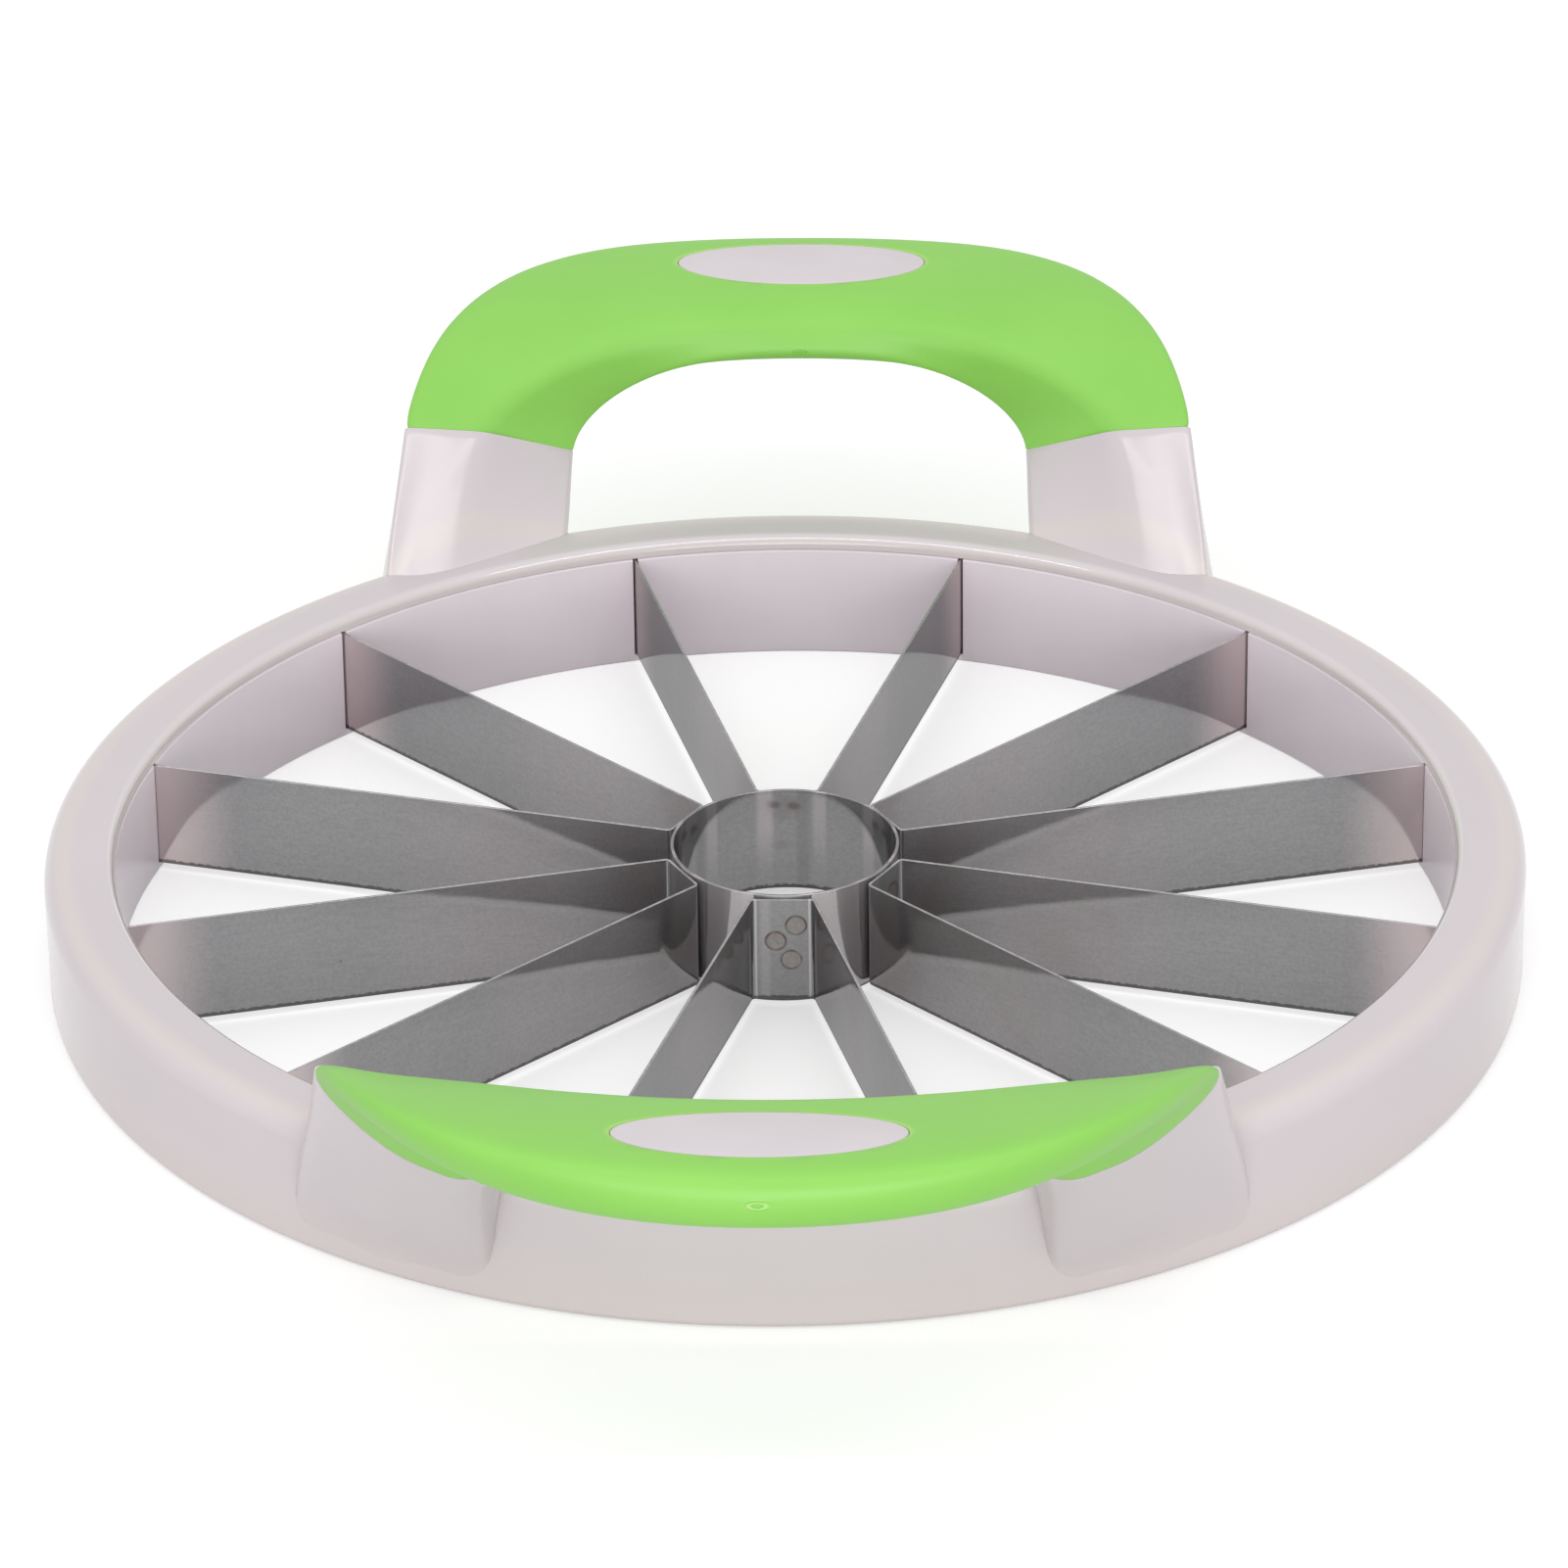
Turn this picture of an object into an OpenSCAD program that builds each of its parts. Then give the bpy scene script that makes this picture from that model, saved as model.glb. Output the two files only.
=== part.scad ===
// Watermelon slicer: a ring with twelve radial blades round a core hoop, pressed down by two arched
// handles. The ring stands on Z = 0 with its axis on Z, and the handles lie on +Y (rear) and -Y (front).

/* [Ring] */
// Inside diameter of the ring, which the melon passes through
bore_d = 254; // [200:0.2:300]
// Width of the rim, from the bore to the outer wall
rim_w = 13.4; // [12.8:0.1:18]
// Height of the ring
ring_h = 26; // [23:0.1:34]
// Amount by which the outer wall draws in towards its bottom
wall_draft = 0.2; // [0.1:0.1:0.8]
// Thickness of the outer wall
wall_t = 2.4; // [1.6:0.1:2.8]
// Thickness of the top plate
top_t = 2.5; // [2:0.1:3.5]
// Height of the lip round the bore, from the top down to the liner
lip_h = 3; // [2.4:0.1:5]
// Rounding of the outer top edge
edge_r = 4.4; // [2:0.1:5]
// Rounding of the outer bottom edge
foot_edge_r = 1.6; // [0.6:0.1:2]
// Rounding of the lip
lip_r = 2.2; // [0.6:0.1:2.4]

/* [Blade carrier] */
// Thickness of the liner that the blades pass through
liner_t = 2.5; // [1.6:0.1:3]
// Thickness of the bottom flange, which is also the floor of the blade slots
floor_t = 1.5; // [1.2:0.1:3]
// Gap between the flange and the outer wall
flange_play = 0.2; // [0.1:0.05:0.5]
// Gap on each side of a blade in its slot
slot_play = 0.15; // [0.05:0.05:0.4]

/* [Blades] */
// Thickness of the blade sheet
sheet_t = 0.5; // [0.4:0.1:1]
// Length of the tab folded over behind the liner at each blade end
tab_len = 7; // [4:0.5:12]
// Gap between a tab and the back of the liner
tab_play = 0.05; // [0.02:0.01:0.2]
// Gap between the blades and the lip above them
blade_play = 0.2; // [0.05:0.05:0.5]
// Outside diameter of the core hoop
core_d = 43.4; // [36:0.2:60]
// Thickness of the core hoop
core_t = 0.6; // [0.4:0.1:1.2]
// Height by which the core hoop stands past the blades, above and below them
core_over = 0.6; // [0.2:0.1:1.2]
// Height of the edge ground inside the core hoop's lower end
core_grind = 1.4; // [0.6:0.1:2]
// Gap between a web and the core hoop, bridged by the spot welds
web_play = 0.05; // [0.02:0.01:0.1]
// Diameter of a spot weld
weld_d = 3.6; // [2:0.1:3.8]
// Height by which a spot weld stands proud of the web
weld_proud = 0.15; // [0.05:0.05:0.3]

/* [Screws] */
// Diameter of the screw bosses under the top plate
boss_d = 6; // [5.4:0.1:6.4]
// Diameter of the screw thread
screw_d = 2.9; // [2.2:0.1:3.2]
// Diameter of the countersunk screw head
head_d = 5.2; // [4.6:0.1:5.6]
// Height of the countersunk screw head
head_h = 1.1; // [0.8:0.1:1.2]
// Length of a screw, head included
screw_len = 12; // [8:0.5:16]
// Gap round a screw in its holes
screw_play = 0.1; // [0.05:0.05:0.3]

/* [Handles] */
// Distance by which a grip stands out past the ring
reach = 56; // [50:0.2:66]
// Height of a grip's top above the ring
rise = 37.4; // [33:0.2:42]
// Radius of the bow's top face, seen from the side
arch_r = 89; // [80:1:110]
// Distance from the crown of that face to the grip's outermost edge
crown_back = 10.4; // [8:0.2:14]
// Width of a grip's top face at its middle
bar_w = 34.8; // [30:0.2:40]
// Thickness of a grip at its middle
bar_t = 12.4; // [10:0.2:14]
// Half the distance across the outside of the legs, at the ring
leg_out_foot = 84.4; // [80:0.2:90]
// Half the distance across the outside of the legs, where the grip starts
leg_out_seam = 79.4; // [76:0.1:84]
// Half the distance across the creases of the legs, at the ring
crease_foot = 73.2; // [68:0.2:78]
// Half the distance across the creases of the legs, where the grip starts
crease_seam = 63.3; // [60:0.1:68]
// Half the width of the finger opening, at the ring
finger_foot = 46.8; // [42:0.2:52]
// Half the width of the finger opening, where the grip starts
finger_seam = 45.4; // [42:0.2:50]
// Distance past the ring's top edge at which the grip starts, along Y and Z together
seam_lift = 13.8; // [8:0.2:18]
// Slope of the plane that the grip starts on, in degrees
seam_slope = 39; // [30:1:50]
// Height by which a leg's outer edge stands above its crease, where the grip starts
bank = 3.8; // [2:0.1:5]
// Depth of a leg's slanted inner side, where the grip starts
leg_depth = 17; // [14:0.2:20]
// Gap between a handle and the ring that it seats on
seat_play = 0.02; // [0.01:0.01:0.1]

/* [Grips] */
// Thickness of the soft sleeve over the flat faces of the handle's core
skin_t = 2.4; // [1.4:0.1:3.4]
// Length of the oval badge
badge_l = 50.7; // [36:0.1:60]
// Width of the oval badge
badge_w = 17.4; // [12:0.1:20]
// Distance from the badge's middle to the grip's outermost edge
badge_back = 16.3; // [14:0.1:19]
// Gap round the badge in its window
badge_play = 0.1; // [0.05:0.05:0.3]

/* [Hidden] */

$fn = 96;
// A cut runs this far past the faces that it opens
over = 1;
white = [0.87, 0.84, 0.84];
green = [0.60, 0.87, 0.42];
steel = [0.60, 0.60, 0.60];

bore_r = bore_d / 2;
ring_r = bore_r + rim_w;
foot_r = ring_r - wall_draft;
core_r = core_d / 2;

// Six strips carry two blades each, so the blades are 30 degrees apart
strip_count = 6;
strip_step = 360 / strip_count;
blade_half = strip_step / 4;
strip_h = ring_h - lip_h - floor_t - blade_play;
tab_r = bore_r + liner_t + tab_play + sheet_t / 2;
web_r = core_r + web_play + sheet_t / 2;
// Places of the three welds on a web: across it and up from its middle
weld_places = [[2.5, 5.2], [-1.3, 1.9], [1.6, -2.1]];

screw_count = 2 * strip_count;
screw_ring_r = (bore_r + liner_t + foot_r - wall_t) / 2;
recess_l = head_d * 0.55;
recess_w = screw_d / 5;
// Share of the core hoop's thickness that is left at its ground edge
core_tip = 0.2;

// The bow's top face is a cylinder along X, with its axis at (bow_y, bow_z)
crown_z = ring_h + rise;
grip_y = ring_r + reach;
bow_y = grip_y - crown_back;
bow_z = crown_z - arch_r;
bar_z = crown_z - bar_t;
// The handle's core is the grip's section drawn in towards its middle by this share
core_share = 2 * skin_t / bar_t;
// The legs run this far into the ring, which then trims them
root = 4;
badge_sides = 48;
leg_steps = 4;
bow_steps = 12;
round_steps = 3;
// A rounding takes at most this share of an edge
edge_share = 0.48;
top_steps = 4;

function lerp(a, b, t) = a + (b - a) * t;
function unit(v) = v / norm(v);
function bezier(p, t) =
    pow(1 - t, 3) * p[0] + 3 * t * pow(1 - t, 2) * p[1] + 3 * t * t * (1 - t) * p[2] + pow(t, 3) * p[3];
function polar(r, angle) = [r * cos(angle), r * sin(angle)];
function reversed(list) = [for (i = [len(list) - 1 : -1 : 0]) list[i]];

// Height of the bow's top face at y
function bow_top(y) = bow_z + sqrt(pow(arch_r, 2) - pow(y - bow_y, 2));
// Place where the crease meets the plane that the grip starts on
seam_sum = ring_r + ring_h + seam_lift;
seam_reach = seam_sum - bow_y - bow_z;
seam_y = bow_y + (seam_reach - sqrt(2 * arch_r * arch_r - seam_reach * seam_reach)) / 2;
seam_z = seam_sum - seam_y;
// A point on that plane, at a depth below the crease
function seam_at(x, depth) = [x, seam_y + depth * cos(seam_slope), seam_z - depth * sin(seam_slope)];
// A point of a leg's foot, at a distance in from the ring's outer wall
function foot_at(x, z, inset) = [x, sqrt(pow(ring_r - inset, 2) - x * x), z];

// A section through the handle has six corners, in this order: outer top edge, crease, inner edge,
// lower inner edge, belly, lower outer edge. They are placed where a leg meets the ring, where the
// grip starts, and at the crown of the bow.
// How far in from the outer wall the upper three land on the ring's top
foot_inset = [3.3, 9, 3.9];
// How far out the outer top edge and the lower outer edge lie past the legs' outside, at the ring
foot_lean = [-1.9, 2.4];
// How far out the lower outer edge lies past the outer top edge, at the seam
seam_lean = 0.4;
// Heights at which the lower three meet the ring's outer wall
foot_z = [4.5, 6.2, 6];
// How far the lower inner edge lies outside the inner edge, at the ring and at the seam
under_set = [3, 8];
// Place of the belly between the inner and the outer side, as a share of the leg's width
belly_share = 0.6;
// Depths of the lower three below the crease, at the seam
seam_depth = [leg_depth + 1.6, leg_depth * 0.8, 0.4];
// How far the inner edge stands out past the top face, at the crown
nose_out = 4;
// Heights of the lower four corners from the underside's middle, at the crown
crown_lift = [1.7, -0.7, 0, 1];
inner_y = grip_y - bar_w;

foot_corners = [
    foot_at(leg_out_foot + foot_lean[0], ring_h, foot_inset[0]),
    foot_at(crease_foot, ring_h, foot_inset[1]),
    foot_at(finger_foot, ring_h, foot_inset[2]),
    foot_at(finger_foot + under_set[0], foot_z[0], 0),
    foot_at(lerp(finger_foot, leg_out_foot, belly_share), foot_z[1], 0),
    foot_at(leg_out_foot + foot_lean[1], foot_z[2], 0)];
seam_corners = [
    seam_at(leg_out_seam, -bank),
    seam_at(crease_seam, 0),
    seam_at(finger_seam, leg_depth),
    seam_at(finger_seam + under_set[1], seam_depth[0]),
    seam_at(lerp(finger_seam, leg_out_seam, belly_share), seam_depth[1]),
    seam_at(leg_out_seam + seam_lean, seam_depth[2])];
crown_corners = [
    [0, grip_y, bow_top(grip_y)],
    [0, inner_y, bow_top(inner_y)],
    [0, inner_y - nose_out, bar_z + crown_lift[0]],
    [0, inner_y - nose_out / 2, bar_z + crown_lift[1]],
    [0, grip_y - bar_w / 2, bar_z + crown_lift[2]],
    [0, grip_y, bar_z + crown_lift[3]]];
// How far each corner's curve runs straight on past the seam, and out from the crown
seam_run = [33, 12, 10, 14, 14, 13];
crown_run = [70, 35, 30, 36, 48, 66];
// How far each corner is rounded at the ring, at the seam and at the crown
foot_round = [1, 12, 2, 9, 4, 7];
seam_round = [1, 3, 2, 3, 8, 7];
crown_round = [5.5, 6, 2, 2, 6, 5.5];

corner_ids = [0 : 5];
bank_z = seam_corners[0][2] - bow_top(seam_corners[0][1]);
function corner_curve(i) =
    [seam_corners[i], seam_corners[i] + unit(seam_corners[i] - foot_corners[i]) * seam_run[i],
        crown_corners[i] + [crown_run[i], 0, 0], crown_corners[i]];
function root_corner(i) = foot_corners[i] + unit(foot_corners[i] - seam_corners[i]) * root;
// Height of the top face at y, with a share of the bank that fades out towards the crown
function top_z(y, s, share) = bow_top(y) + bank_z * pow(1 - s, 2) * share;
// Corners of the section at s, which is -1 at the ring, 0 at the seam and 1 at the crown
function corners(s) = [for (i = corner_ids)
    let (p = s < 0 ? lerp(root_corner(i), seam_corners[i], 1 + s) : bezier(corner_curve(i), s))
    s > 0 && i < 2 ? [p[0], p[1], top_z(p[1], s, 1 - i)] : p];
function rounding(s) =
    s < 0 ? lerp(foot_round, seam_round, 1 + s) : lerp(seam_round, crown_round, sqrt(s));
// A point of the top face, at a share of the way from its outer edge a to its crease b
function top_point(a, b, s, share) =
    let (p = lerp(a, b, share)) [p[0], p[1], s < 0 ? p[2] : top_z(p[1], s, 1 - share)];
// The place where a rounding of corner p starts, on the side that runs to q
function toward(p, q, cut) = p + unit(q - p) * min(cut, norm(q - p) * edge_share);
// A rounded corner at p, as points from u to v
function rounded(u, p, v) = [for (k = [0 : round_steps])
    let (t = k / round_steps) pow(1 - t, 2) * u + 2 * t * (1 - t) * p + t * t * v];
// A closed section through the handle at s
function section(s) =
    let (q = corners(s), cuts = rounding(s), width = norm(q[1] - q[0]),
        first = min(cuts[0] / width, edge_share), last = 1 - min(cuts[1] / width, edge_share),
        tops = [for (k = [0 : top_steps]) top_point(q[0], q[1], s, lerp(first, last, k / top_steps))])
    concat(rounded(toward(q[0], q[5], cuts[0]), q[0], tops[0]), [for (k = [1 : top_steps - 1]) tops[k]],
        rounded(tops[top_steps], q[1], toward(q[1], q[2], cuts[1])),
        [for (i = [2 : 5])
            each rounded(toward(q[i], q[i - 1], cuts[i]), q[i], toward(q[i], q[(i + 1) % 6], cuts[i]))]);
function mirrored(points) = [for (p = points) [-p[0], p[1], p[2]]];
// A section drawn in towards its middle
function slim(points, share) =
    let (centre = [for (p = points) 1] * points / len(points))
    [for (p = points) lerp(p, centre, share)];

leg_sections = [for (k = [0 : leg_steps]) section(k / leg_steps - 1)];
half_bow = [for (k = [0 : bow_steps]) section(k / bow_steps)];
full_bow = concat(half_bow, [for (k = [bow_steps - 1 : -1 : 0]) mirrored(half_bow[k])]);
slim_bow = [for (points = full_bow) slim(points, core_share)];

// Faces between the rings of points of a loft that start at first, with n points each
function tube_faces(first, rings, n) = [for (i = [0 : rings - 2], j = [0 : n - 1])
    let (a = first + i * n, k = (j + 1) % n)
    each [[a + j, a + k, a + n + k], [a + j, a + n + k, a + n + j]]];
function flipped(faces) = [for (f = faces) reversed(f)];
function points_of(sections) = [for (s = sections) each s];

module loft(sections) {
    n = len(sections[0]);
    rings = len(sections);
    ends = [[for (j = [n - 1 : -1 : 0]) j], [for (j = [0 : n - 1]) (rings - 1) * n + j]];
    polyhedron(points_of(sections), flipped(concat(tube_faces(0, rings, n), ends)), convexity = 6);
}

// A tube wall between outer and inner sections, closed by flat rings at its ends
module sleeve(outer, inner) {
    n = len(outer[0]);
    rings = len(outer);
    second = rings * n;
    last = (rings - 1) * n;
    ends = [for (j = [0 : n - 1])
        let (k = (j + 1) % n)
        each [[j, second + j, second + k], [j, second + k, k],
            [last + j, second + last + k, second + last + j], [last + j, last + k, second + last + k]]];
    sides = concat(tube_faces(0, rings, n), flipped(tube_faces(second, rings, n)));
    polyhedron(concat(points_of(outer), points_of(inner)), flipped(concat(sides, ends)), convexity = 8);
}

// Section of the whole rim, with its edges rounded
module rim_outline() {
    polygon([[bore_r, 0], [foot_r - foot_edge_r, 0], [foot_r, foot_edge_r], [ring_r, ring_h - edge_r],
        [ring_r - edge_r, ring_h], [bore_r + lip_r, ring_h], [bore_r, ring_h - lip_r]]);
    translate([foot_r - foot_edge_r, foot_edge_r]) circle(foot_edge_r);
    translate([ring_r - edge_r, ring_h - edge_r]) circle(edge_r);
    translate([bore_r + lip_r, ring_h - lip_r]) circle(lip_r);
}

// The ring's outer shape without its bore, grown by gap, which trims the handles
module ring_envelope(gap) {
    rotate_extrude() {
        polygon([[0, -over], [foot_r + gap, -over], [foot_r + gap, foot_edge_r],
            [ring_r + gap, ring_h - edge_r], [ring_r - edge_r, ring_h + gap], [0, ring_h + gap]]);
        translate([ring_r - edge_r, ring_h - edge_r]) circle(edge_r + gap);
    }
}

module at_screws() {
    for (k = [0 : screw_count - 1])
        rotate(k * 360 / screw_count) translate([screw_ring_r, 0, 0]) children();
}

module ring_shell() {
    color(white) difference() {
        union() {
            rotate_extrude() difference() {
                rim_outline();
                // The channel under the top plate, and the liner's place under the lip
                polygon([[bore_r + liner_t, -over], [foot_r - wall_t, -over],
                    [foot_r - wall_t, foot_edge_r], [ring_r - wall_t, ring_h - edge_r],
                    [ring_r - edge_r, ring_h - top_t], [bore_r + liner_t, ring_h - top_t]]);
                translate([bore_r - over, -over]) square([liner_t + 2 * over, ring_h - lip_h + over]);
            }
            at_screws() translate([0, 0, floor_t]) cylinder(d = boss_d, h = ring_h - top_t / 2 - floor_t);
        }
        at_screws() cylinder(d = screw_d + 2 * screw_play, h = screw_len + over);
    }
}

module blade_carrier() {
    color(white) difference() {
        rotate_extrude() {
            translate([bore_r, 0]) square([liner_t, ring_h - lip_h]);
            translate([bore_r, 0]) square([foot_r - wall_t - flange_play - bore_r, floor_t]);
        }
        for (k = [0 : 2 * strip_count - 1])
            rotate(blade_half + k * 2 * blade_half)
                translate([bore_r - over, -sheet_t / 2 - slot_play, floor_t])
                    cube([liner_t + 2 * over, sheet_t + 2 * slot_play, ring_h]);
        at_screws() {
            translate([0, 0, -over]) cylinder(d = screw_d + 2 * screw_play, h = floor_t + 2 * over);
            cylinder(d1 = head_d + 2 * screw_play, d2 = screw_d + 2 * screw_play, h = head_h);
        }
    }
}

// One side of a band along a path, at distance d from it, with mitred corners
function band_side(path, d) = [for (i = [0 : len(path) - 1])
    let (a = unit(path[max(i, 1)] - path[max(i, 1) - 1]),
        b = unit(path[min(i + 1, len(path) - 1)] - path[min(i + 1, len(path) - 1) - 1]),
        na = [-a[1], a[0]], nb = [-b[1], b[0]])
    path[i] + (na + nb) * d / (1 + na * nb)];

module at_welds() {
    for (place = weld_places)
        translate([0, place[0], floor_t + strip_h / 2 + place[1]]) rotate([0, 90, 0]) children();
}

// One strip, seen from above: tab, blade, web, blade, tab, with its web square to the given angle
module blade_strip(angle) {
    web_end = [web_r, web_r * tan(blade_half)];
    blade_end = polar(tab_r, blade_half);
    tab_end = blade_end + polar(tab_len, blade_half + 90);
    half = [tab_end, blade_end, web_end];
    path = concat(half, [for (p = reversed(half)) [p[0], -p[1]]]);
    color(steel) rotate(angle) difference() {
        translate([0, 0, floor_t]) linear_extrude(strip_h)
            polygon(concat(band_side(path, sheet_t / 2), reversed(band_side(path, -sheet_t / 2))));
        at_welds() cylinder(d = weld_d, h = 2 * core_r);
    }
}

module core_ring() {
    core_h = strip_h + 2 * core_over;
    // The ground edge is a cone, which runs on below the hoop by the same slope
    tip_r = core_r - core_t * core_tip;
    run_r = tip_r + over * core_t * (1 - core_tip) / core_grind;
    color(steel) translate([0, 0, floor_t - core_over]) difference() {
        cylinder(r = core_r, h = core_h);
        translate([0, 0, -over]) {
            cylinder(r = core_r - core_t, h = core_h + 2 * over);
            cylinder(r1 = run_r, r2 = core_r - core_t, h = core_grind + over);
        }
    }
}

module weld_nuggets() {
    color(steel) for (k = [0 : strip_count - 1]) rotate(90 + k * strip_step) difference() {
        at_welds() cylinder(d = weld_d, h = web_r + sheet_t / 2 + weld_proud);
        cylinder(r = core_r, h = ring_h);
    }
}

module carrier_screws() {
    color(steel) at_screws() difference() {
        union() {
            cylinder(d1 = head_d, d2 = screw_d, h = head_h);
            cylinder(d = screw_d, h = screw_len);
        }
        for (turn = [0, 90]) rotate(turn) cube([recess_l, recess_w, head_h], center = true);
    }
}

// The rear handle's core: both legs, and a slimmer bow that the grip covers
module handle_core() {
    color(white) difference() {
        loft(concat(leg_sections, slim_bow, [for (k = [leg_steps : -1 : 0]) mirrored(leg_sections[k])]));
        ring_envelope(seat_play);
    }
}

module grip_sleeve() {
    sleeve(full_bow, slim_bow);
}

module badge_oval(grow) {
    half_l = badge_l / 2 + grow;
    half_w = badge_w / 2 + grow;
    translate([0, grip_y - badge_back, crown_z - bar_t / 2]) linear_extrude(bar_t)
        polygon([for (k = [1 : badge_sides])
            let (a = k * 360 / badge_sides) [half_l * cos(a), half_w * sin(a)]]);
}

module grip() {
    color(green) difference() {
        grip_sleeve();
        badge_oval(badge_play);
    }
}

module badge() {
    color(white) intersection() {
        grip_sleeve();
        badge_oval(0);
    }
}

module to_front() {
    rotate(180) children();
}

ring_shell();
blade_carrier();
blade_strip(90);  // blade_strip_rear
blade_strip(30);  // blade_strip_rear_right
blade_strip(-30);  // blade_strip_front_right
blade_strip(-90);  // blade_strip_front
blade_strip(-150);  // blade_strip_front_left
blade_strip(150);  // blade_strip_rear_left
core_ring();
weld_nuggets();
carrier_screws();
handle_core();  // rear_handle_core
to_front() handle_core();  // front_handle_core
grip();  // rear_grip
to_front() grip();  // front_grip
badge();  // rear_badge
to_front() badge();  // front_badge
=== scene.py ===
from math import cos, pi, radians, sin, sqrt, tan

import bmesh
import bpy
from mathutils import Matrix, Vector


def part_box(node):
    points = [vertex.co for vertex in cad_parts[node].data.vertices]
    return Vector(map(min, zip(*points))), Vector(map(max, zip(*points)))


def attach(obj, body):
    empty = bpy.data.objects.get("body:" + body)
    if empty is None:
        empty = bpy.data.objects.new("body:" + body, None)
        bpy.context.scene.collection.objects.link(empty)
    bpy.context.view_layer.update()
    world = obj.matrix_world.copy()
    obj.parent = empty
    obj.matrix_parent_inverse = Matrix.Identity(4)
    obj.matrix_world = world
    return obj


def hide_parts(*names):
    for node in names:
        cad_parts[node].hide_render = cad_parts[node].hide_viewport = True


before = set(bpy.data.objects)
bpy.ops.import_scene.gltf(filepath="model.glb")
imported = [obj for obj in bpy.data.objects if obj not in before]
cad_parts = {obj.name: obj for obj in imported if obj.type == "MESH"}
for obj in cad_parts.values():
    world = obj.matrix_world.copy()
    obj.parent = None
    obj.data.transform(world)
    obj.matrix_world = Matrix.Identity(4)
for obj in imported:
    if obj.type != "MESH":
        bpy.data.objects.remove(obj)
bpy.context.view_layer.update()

# Sizes of the ring, in metres, with its reach and height from the frame
RING_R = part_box("ring_shell")[1].x
RING_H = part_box("ring_shell")[1].z
RIM_W = 0.0134
WALL_DRAFT = 0.0002
WALL_T = 0.0024
TOP_T = 0.0025
LIP_H = 0.003
EDGE_R = 0.0044
FOOT_EDGE_R = 0.0016
LIP_R = 0.0022
BORE_R = RING_R - RIM_W
FOOT_R = RING_R - WALL_DRAFT
LIP_Z = RING_H - LIP_H
RING_SIDES = 360

# Sizes of the blade carrier
LINER_T = 0.0025
FLANGE_PLAY = 0.0002
FLANGE_R = FOOT_R - WALL_T - FLANGE_PLAY
LINER_EDGE = 0.00035
SLOT_PLAY = 0.0003

# Sizes of the blades and the core hoop
FLOOR_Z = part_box("blade_strip_rear")[0].z
BLADE_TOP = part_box("blade_strip_rear")[1].z
CORE_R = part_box("core_ring")[1].x
HOOP_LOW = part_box("core_ring")[0].z
HOOP_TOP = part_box("core_ring")[1].z
CORE_T = 0.0006
SHEET_T = 0.0005
SHEET_GAP = 0.00005
TAB_LEN = 0.007
TAB_R = BORE_R + LINER_T + SHEET_GAP + SHEET_T / 2
WEB_R = CORE_R + SHEET_GAP + SHEET_T / 2
WEB_Z = (FLOOR_Z + BLADE_TOP) / 2
BEND_R = 0.0009
BLADE_GROUND = 0.0010
HOOP_GROUND = 0.0014
# Shares of the sheet's thickness: its broken edges, and what is left at the tip of a ground edge
EDGE_BREAK = 0.16
BLADE_TIP = 0.35
HOOP_TIP = 0.2
HOOP_FOOT_BREAK = (0.05, 0.1)
STRIP_COUNT = 6
STRIP_STEP = 2 * pi / STRIP_COUNT
BLADE_HALF = STRIP_STEP / 4
STRIP_TURNS = {"blade_strip_rear": 90, "blade_strip_rear_right": 30, "blade_strip_front_right": -30,
               "blade_strip_front": -90, "blade_strip_front_left": -150, "blade_strip_rear_left": 150}

# Spot welds: places across the web and up from its middle, radius, how far they stand proud, and profile
# in shares of these two
WELD_PLACES = ((0.0025, 0.0052), (-0.0013, 0.0019), (0.0016, -0.0021))
WELD_R = 0.0020
WELD_PROUD = 0.00005
WELD_OUTLINE = ((0, 0.5), (0.4, 0.45), (0.8, 0.4), (0.9, 0.8), (0.96, 1), (1.02, 0.6), (1.1, 0))
# Marks of the welds inside the hoop: along it, up from its middle, size and strength
HEAT_MARKS = ((0.0025, 0.0081, 0.0016, 0.6), (-0.0011, 0.0078, 0.0016, 0.6), (0.0006, 0.0074, 0.0048, 0.22),
              (0.0015, -0.0006, 0.0020, 0.2))

# Sizes of the screws under the ring, and the width of their holes in shares of a screw's own
SCREW_COUNT = 12
SCREW_RING_R = (BORE_R + LINER_T + FOOT_R - WALL_T) / 2
BOSS_R = 0.003
SCREW_R = 0.00145
HEAD_R = 0.0026
HEAD_H = 0.0011
SCREW_LEN = 0.012
THREADS = 9
THREAD_ROOT = 0.8
HEAD_HOLE = 1.02
SHANK_HOLE = 1.06

# Sizes of the handles
GRIP_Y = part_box("rear_grip")[1].y
RISE = 0.0374
ARCH_R = 0.089
CROWN_BACK = 0.0104
BAR_W = 0.0348
BAR_T = 0.0124
LEG_OUT_FOOT = 0.0844
LEG_OUT_SEAM = 0.0794
CREASE_FOOT = 0.0732
CREASE_SEAM = 0.0633
FINGER_FOOT = 0.0468
FINGER_SEAM = 0.0454
SEAM_LIFT = 0.0138
SEAM_SLOPE = radians(39)
BANK = 0.0038
LEG_DEPTH = 0.017
SKIN_T = 0.0024
SEAT_PLAY = 0.00002
BADGE_BACK = 0.0163
BADGE_HALF_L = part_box("rear_badge")[1].x
BADGE_HALF_W = (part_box("rear_badge")[1].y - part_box("rear_badge")[0].y) / 2

CROWN_Z = RING_H + RISE
BOW_Y = GRIP_Y - CROWN_BACK
BOW_Z = CROWN_Z - ARCH_R
BAR_Z = CROWN_Z - BAR_T
INNER_Y = GRIP_Y - BAR_W
BADGE_Y = GRIP_Y - BADGE_BACK
# Gate marks of the moulding, at the crown: their heights above the underside, and their half sizes
GATE_Z = BAR_Z + 0.0071
GATE_SIZE = (0.0020, 0.0008, 0.0002)
NICK_Z = BAR_Z + 0.0018
NICK_SIZE = (0.0013, 0.0005, 0.0002)


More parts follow.
